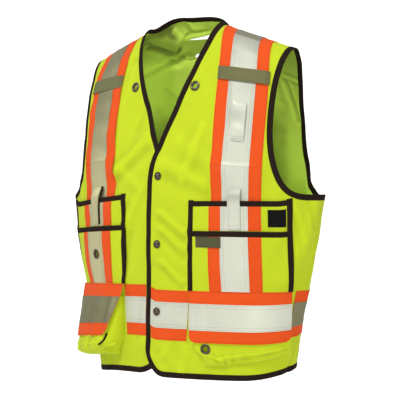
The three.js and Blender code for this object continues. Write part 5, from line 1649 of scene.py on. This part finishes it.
# Painted shade towards the loop's top
sheet("chest_loop", p, n, LOOP_THICK, 0, "silver", "chest_loop_left", shade=smooth(h, *PAINTED_TAPE_SHADE_H[1]))
seams("thread_grey", p, n, LOOP_THICK + WEBBING_SEAM_LIFT, rows=LOOP_SEAMS, short=1)

# Pocket straps: height, stand-off, and 1 where the strap lies over the pocket
STRAP_ROWS = ((-418, 2.9, 1), (-398, 2.9, 1), (-375, 3.1, 1), (-361, 3.1, 1), (-350, 8.0, 0), (-338, 2.9, 0))
STRAP_Z, STRAP_REACH, STRAP_X = (STRAP_ROWS[0][0], STRAP_ROWS[-1][0]), 6, 170
STRAP_GIRTH, STRAP_COLS, STRAP_STEPS, STRAP_THICK, STRAP_SEAM_LIFT = (163, 188), 12, 60, 1.6, 1.5
STRAP_SEAM_ROWS, STRAP_SEAM_COLUMNS = (2, 6, -3), (1, -2)
# Heights where the painted shade on the straps' tops rises
STRAP_SHADE_Z = {1: (-372, -350), -1: (-340, -330)}
# Girth, stand-off and thickness of a dark sheet under the wearer's right strap that shows along its side
DARK_SHEET_GIRTH, DARK_SHEET_OFF, DARK_SHEET_THICK = (158.5, 186), -1.4, 1.2


def strap_off(side, girth, z):
    """Stand-off of a strap, eased along its length through that of the pocket under it."""
    under = back_layer_off(side, girth, np.minimum(z, POCKET_TOP)) + POCKET_CLOTH
    totals = []
    for at, stand, over_pocket in STRAP_ROWS:
        beneath = float(np.mean(under[np.abs(z - at) < STRAP_REACH]))
        totals.append((at, stand + over_pocket * beneath))
    return along(totals, z, 1)


def strap_grid(side, girths, off=0.0):
    girth, z = patch_grid(girths, STRAP_Z, STRAP_COLS, STRAP_STEPS)
    share = (girth - FRONT_LINE["silver_in"]) / (FRONT_LINE["silver_out"] - FRONT_LINE["silver_in"])
    h = z_height(side * STRAP_X, z)
    q = mix(front_tape_q("silver_in", h, side), front_tape_q("silver_out", h, side), share)
    return (*spot(q, h, strap_off(side, girth, z) + off), z)


for side, label in SIDES:
    p, n, z = strap_grid(side, STRAP_GIRTH)
    # Painted shade on the top of each strap's arch; the right strap is also a darker, warmer copy of the
    # silver
    sheet(f"pocket_strap_tape_{label}", p, n, STRAP_THICK, 0, "silver" if side > 0 else "silver_off_axis",
          f"pocket_strap_{label}", shade=smooth(z, *STRAP_SHADE_Z[side]))
    seams("thread_grey", p, n, STRAP_SEAM_LIFT, rows=STRAP_SEAM_ROWS, short=1)
    seams("thread_grey", p, n, STRAP_SEAM_LIFT, columns=STRAP_SEAM_COLUMNS, short=2)
# A dark sheet under the wearer's right strap, showing along its side
p, n, _ = strap_grid(-1, DARK_SHEET_GIRTH, DARK_SHEET_OFF)
sheet("strap_dark_sheet_right", p, n, DARK_SHEET_THICK, 0, "binding")

# Snaps down the lapped edge: name, height, stand-off
SNAP_PROFILE = (
    (0.01, -0.4), (8.2, -0.4), (8.5, 0.0), (8.5, 0.7), (8.2, 1.2), (7.7, 1.4), (7.3, 1.35), (7.0, 1.8),
    (6.3, 3.2), (5.0, 4.4), (3.2, 5.1), (1.5, 5.4), (0.01, 5.45),
)
SNAP_X = 4.0
SNAPS = (("snap_upper", -313, 0.5), ("snap_middle", -450, 0.5), ("snap_lower", -585, TAPE_TOP + 0.3))
for name, z, off in SNAPS:
    p, n = x_spot(1, np.array(SNAP_X), z_height(SNAP_X, z))
    turned(f"press_{name}", SNAP_PROFILE, p + n * off, n, name)

# Plain sewn patches on the wearer's left pocket: range of girth, range of height
PATCH_THICK, PATCH_OFF = 0.9, POCKET_CLOTH + 0.3
BLACK_PATCH, BLACK_CELLS = ((241, 275), (-413, -380)), (18, 18)
OLIVE_PATCH, OLIVE_CELLS, OLIVE_STEP = ((95, 150), (-454, -433)), (24, 10), (112, 124)
g, z = patch_grid(*BLACK_PATCH, *BLACK_CELLS)
p, n = front_spot(1, g, z, back_layer_off(1, g, z) + PATCH_OFF)
sheet("patch_black", p, n, PATCH_THICK, 0, "black", "chest_patch")
seams("thread_dark", p, n, PATCH_THICK, rows=(0, -1), columns=(0, -1))
g, z = patch_grid(*OLIVE_PATCH, *OLIVE_CELLS)
p, n = front_spot(1, g, z, front_layer_off(1, g, z) + PATCH_OFF + TAPE_TOP * smooth(g, *OLIVE_STEP))
sheet("patch_olive", p, n, PATCH_THICK, 0, "olive", "pocket_patch")
seams("thread_dark", p, n, PATCH_THICK, rows=(1, -2))

# Body seams: double rows down each side
SIDE_SEAMS, SIDE_SEAM_STEPS, SIDE_SEAM_LIFT = (QUARTER - 0.012, QUARTER - 0.036), 200, 0.15
for side, _ in SIDES:
    h = np.linspace(HEM_Z + BIND, UNDERARM_Z - BIND, SIDE_SEAM_STEPS)
    for q in SIDE_SEAMS:
        seam("thread_lime", *spot(side * q, h), SIDE_SEAM_LIFT)

stitches = stitch_tree()
for thread, rows in SEAMS.items():
    for part, i in enumerate(range(0, len(rows), ROWS_PER_PIECE), 1):
        sew(stitches, thread, rows[i:i + ROWS_PER_PIECE], part)


# Studio, in metres: pale floor and backdrop, soft light, and the camera at the photograph's angle
FLOOR_Z, FLOOR_HALF, FLOOR_FRONT, FLOOR_BACK = -1.05, 7.0, -4.0, 2.0
SWEEP, SWEEP_START, SWEEP_STEPS, BACKDROP_TOP = 1.5, 0.1, 14, 5.0
STUDIO_GLOW, STUDIO_GREY, WORLD_LIGHT = 0.8, 0.9, 0.42
CAMERA_AZIMUTH = math.radians(36)
CAMERA_DISTANCE = 2.5
CAMERA_Z = -0.361
SENSOR, FOCAL_PIXELS, IMAGE_PIXELS, AXIS_COLUMN = 36, 1186, 400, 197

# Lights: name, degrees round from the camera and up, distance, size, power
LIGHTS = (
    ("key", -30, 44, 2.9, 0.6, 42),
    ("front", 4, -10, 3.0, 1.0, 21),
    ("fill", 66, 24, 3.0, 0.9, 16),
    ("rim", -84, 30, 2.8, 0.9, 11),
)


def put(name, data, azimuth, elevation, distance):
    """An object that looks at the middle of the vest from a distance."""
    thing = bpy.data.objects.new(name, data)
    level, up = distance * math.cos(elevation), distance * math.sin(elevation)
    thing.location = (level * math.sin(azimuth), -level * math.cos(azimuth), CAMERA_Z + up)
    thing.rotation_euler = (QUARTER - elevation, 0, azimuth)
    bpy.context.scene.collection.objects.link(thing)
    return thing


def cyclorama():
    """Floor that sweeps up into a backdrop behind the vest, turned to face the camera."""
    profile = [(FLOOR_FRONT, 0.0), (FLOOR_BACK, 0.0)]
    for a in np.linspace(SWEEP_START, QUARTER, SWEEP_STEPS):
        profile.append((FLOOR_BACK + SWEEP * math.sin(a), SWEEP - SWEEP * math.cos(a)))
    profile.append((FLOOR_BACK + SWEEP, BACKDROP_TOP))
    points = [(x, y, z + FLOOR_Z) for y, z in profile for x in (-FLOOR_HALF, FLOOR_HALF)]
    faces = [(2 * i, 2 * i + 1, 2 * i + 3, 2 * i + 2) for i in range(len(profile) - 1)]
    mesh = bpy.data.meshes.new("studio_floor")
    mesh.from_pydata(points, [], faces)
    mesh.shade_smooth()
    material, tree, shader = blank_material("studio_white", Roughness=0.9)
    shader.inputs["Base Color"].default_value = (STUDIO_GREY, STUDIO_GREY, STUDIO_GREY, 1)
    shader.inputs["Emission Color"].default_value = (1, 1, 1, 1)
    seen = add_node(tree, "ShaderNodeLightPath").outputs["Is Camera Ray"]
    tree.links.new(maths(tree, "MULTIPLY", seen, STUDIO_GLOW), shader.inputs["Emission Strength"])
    mesh.materials.append(material)
    floor = bpy.data.objects.new("studio_floor", mesh)
    bpy.context.scene.collection.objects.link(floor)
    floor.rotation_euler = (0, 0, CAMERA_AZIMUTH)


def camera():
    lens = bpy.data.cameras.new("photo_camera")
    lens.sensor_width = SENSOR
    lens.lens = SENSOR * FOCAL_PIXELS / IMAGE_PIXELS
    lens.shift_x = (IMAGE_PIXELS / 2 - AXIS_COLUMN) / IMAGE_PIXELS
    bpy.context.scene.camera = put("photo_camera", lens, CAMERA_AZIMUTH, 0.0, CAMERA_DISTANCE)


cyclorama()
for name, azimuth, elevation, distance, size, power in LIGHTS:
    light = bpy.data.lights.new(name, "AREA")
    light.shape = "DISK"
    light.size = size
    light.energy = power
    put(name, light, CAMERA_AZIMUTH + math.radians(azimuth), math.radians(elevation), distance)
camera()
world = bpy.data.worlds.new("studio")
world.use_nodes = True
backing = world.node_tree.nodes["Background"]
backing.inputs["Color"].default_value = (1, 1, 1, 1)
backing.inputs["Strength"].default_value = WORLD_LIGHT
bpy.context.scene.world = world
bpy.context.scene.view_settings.view_transform = "Standard"
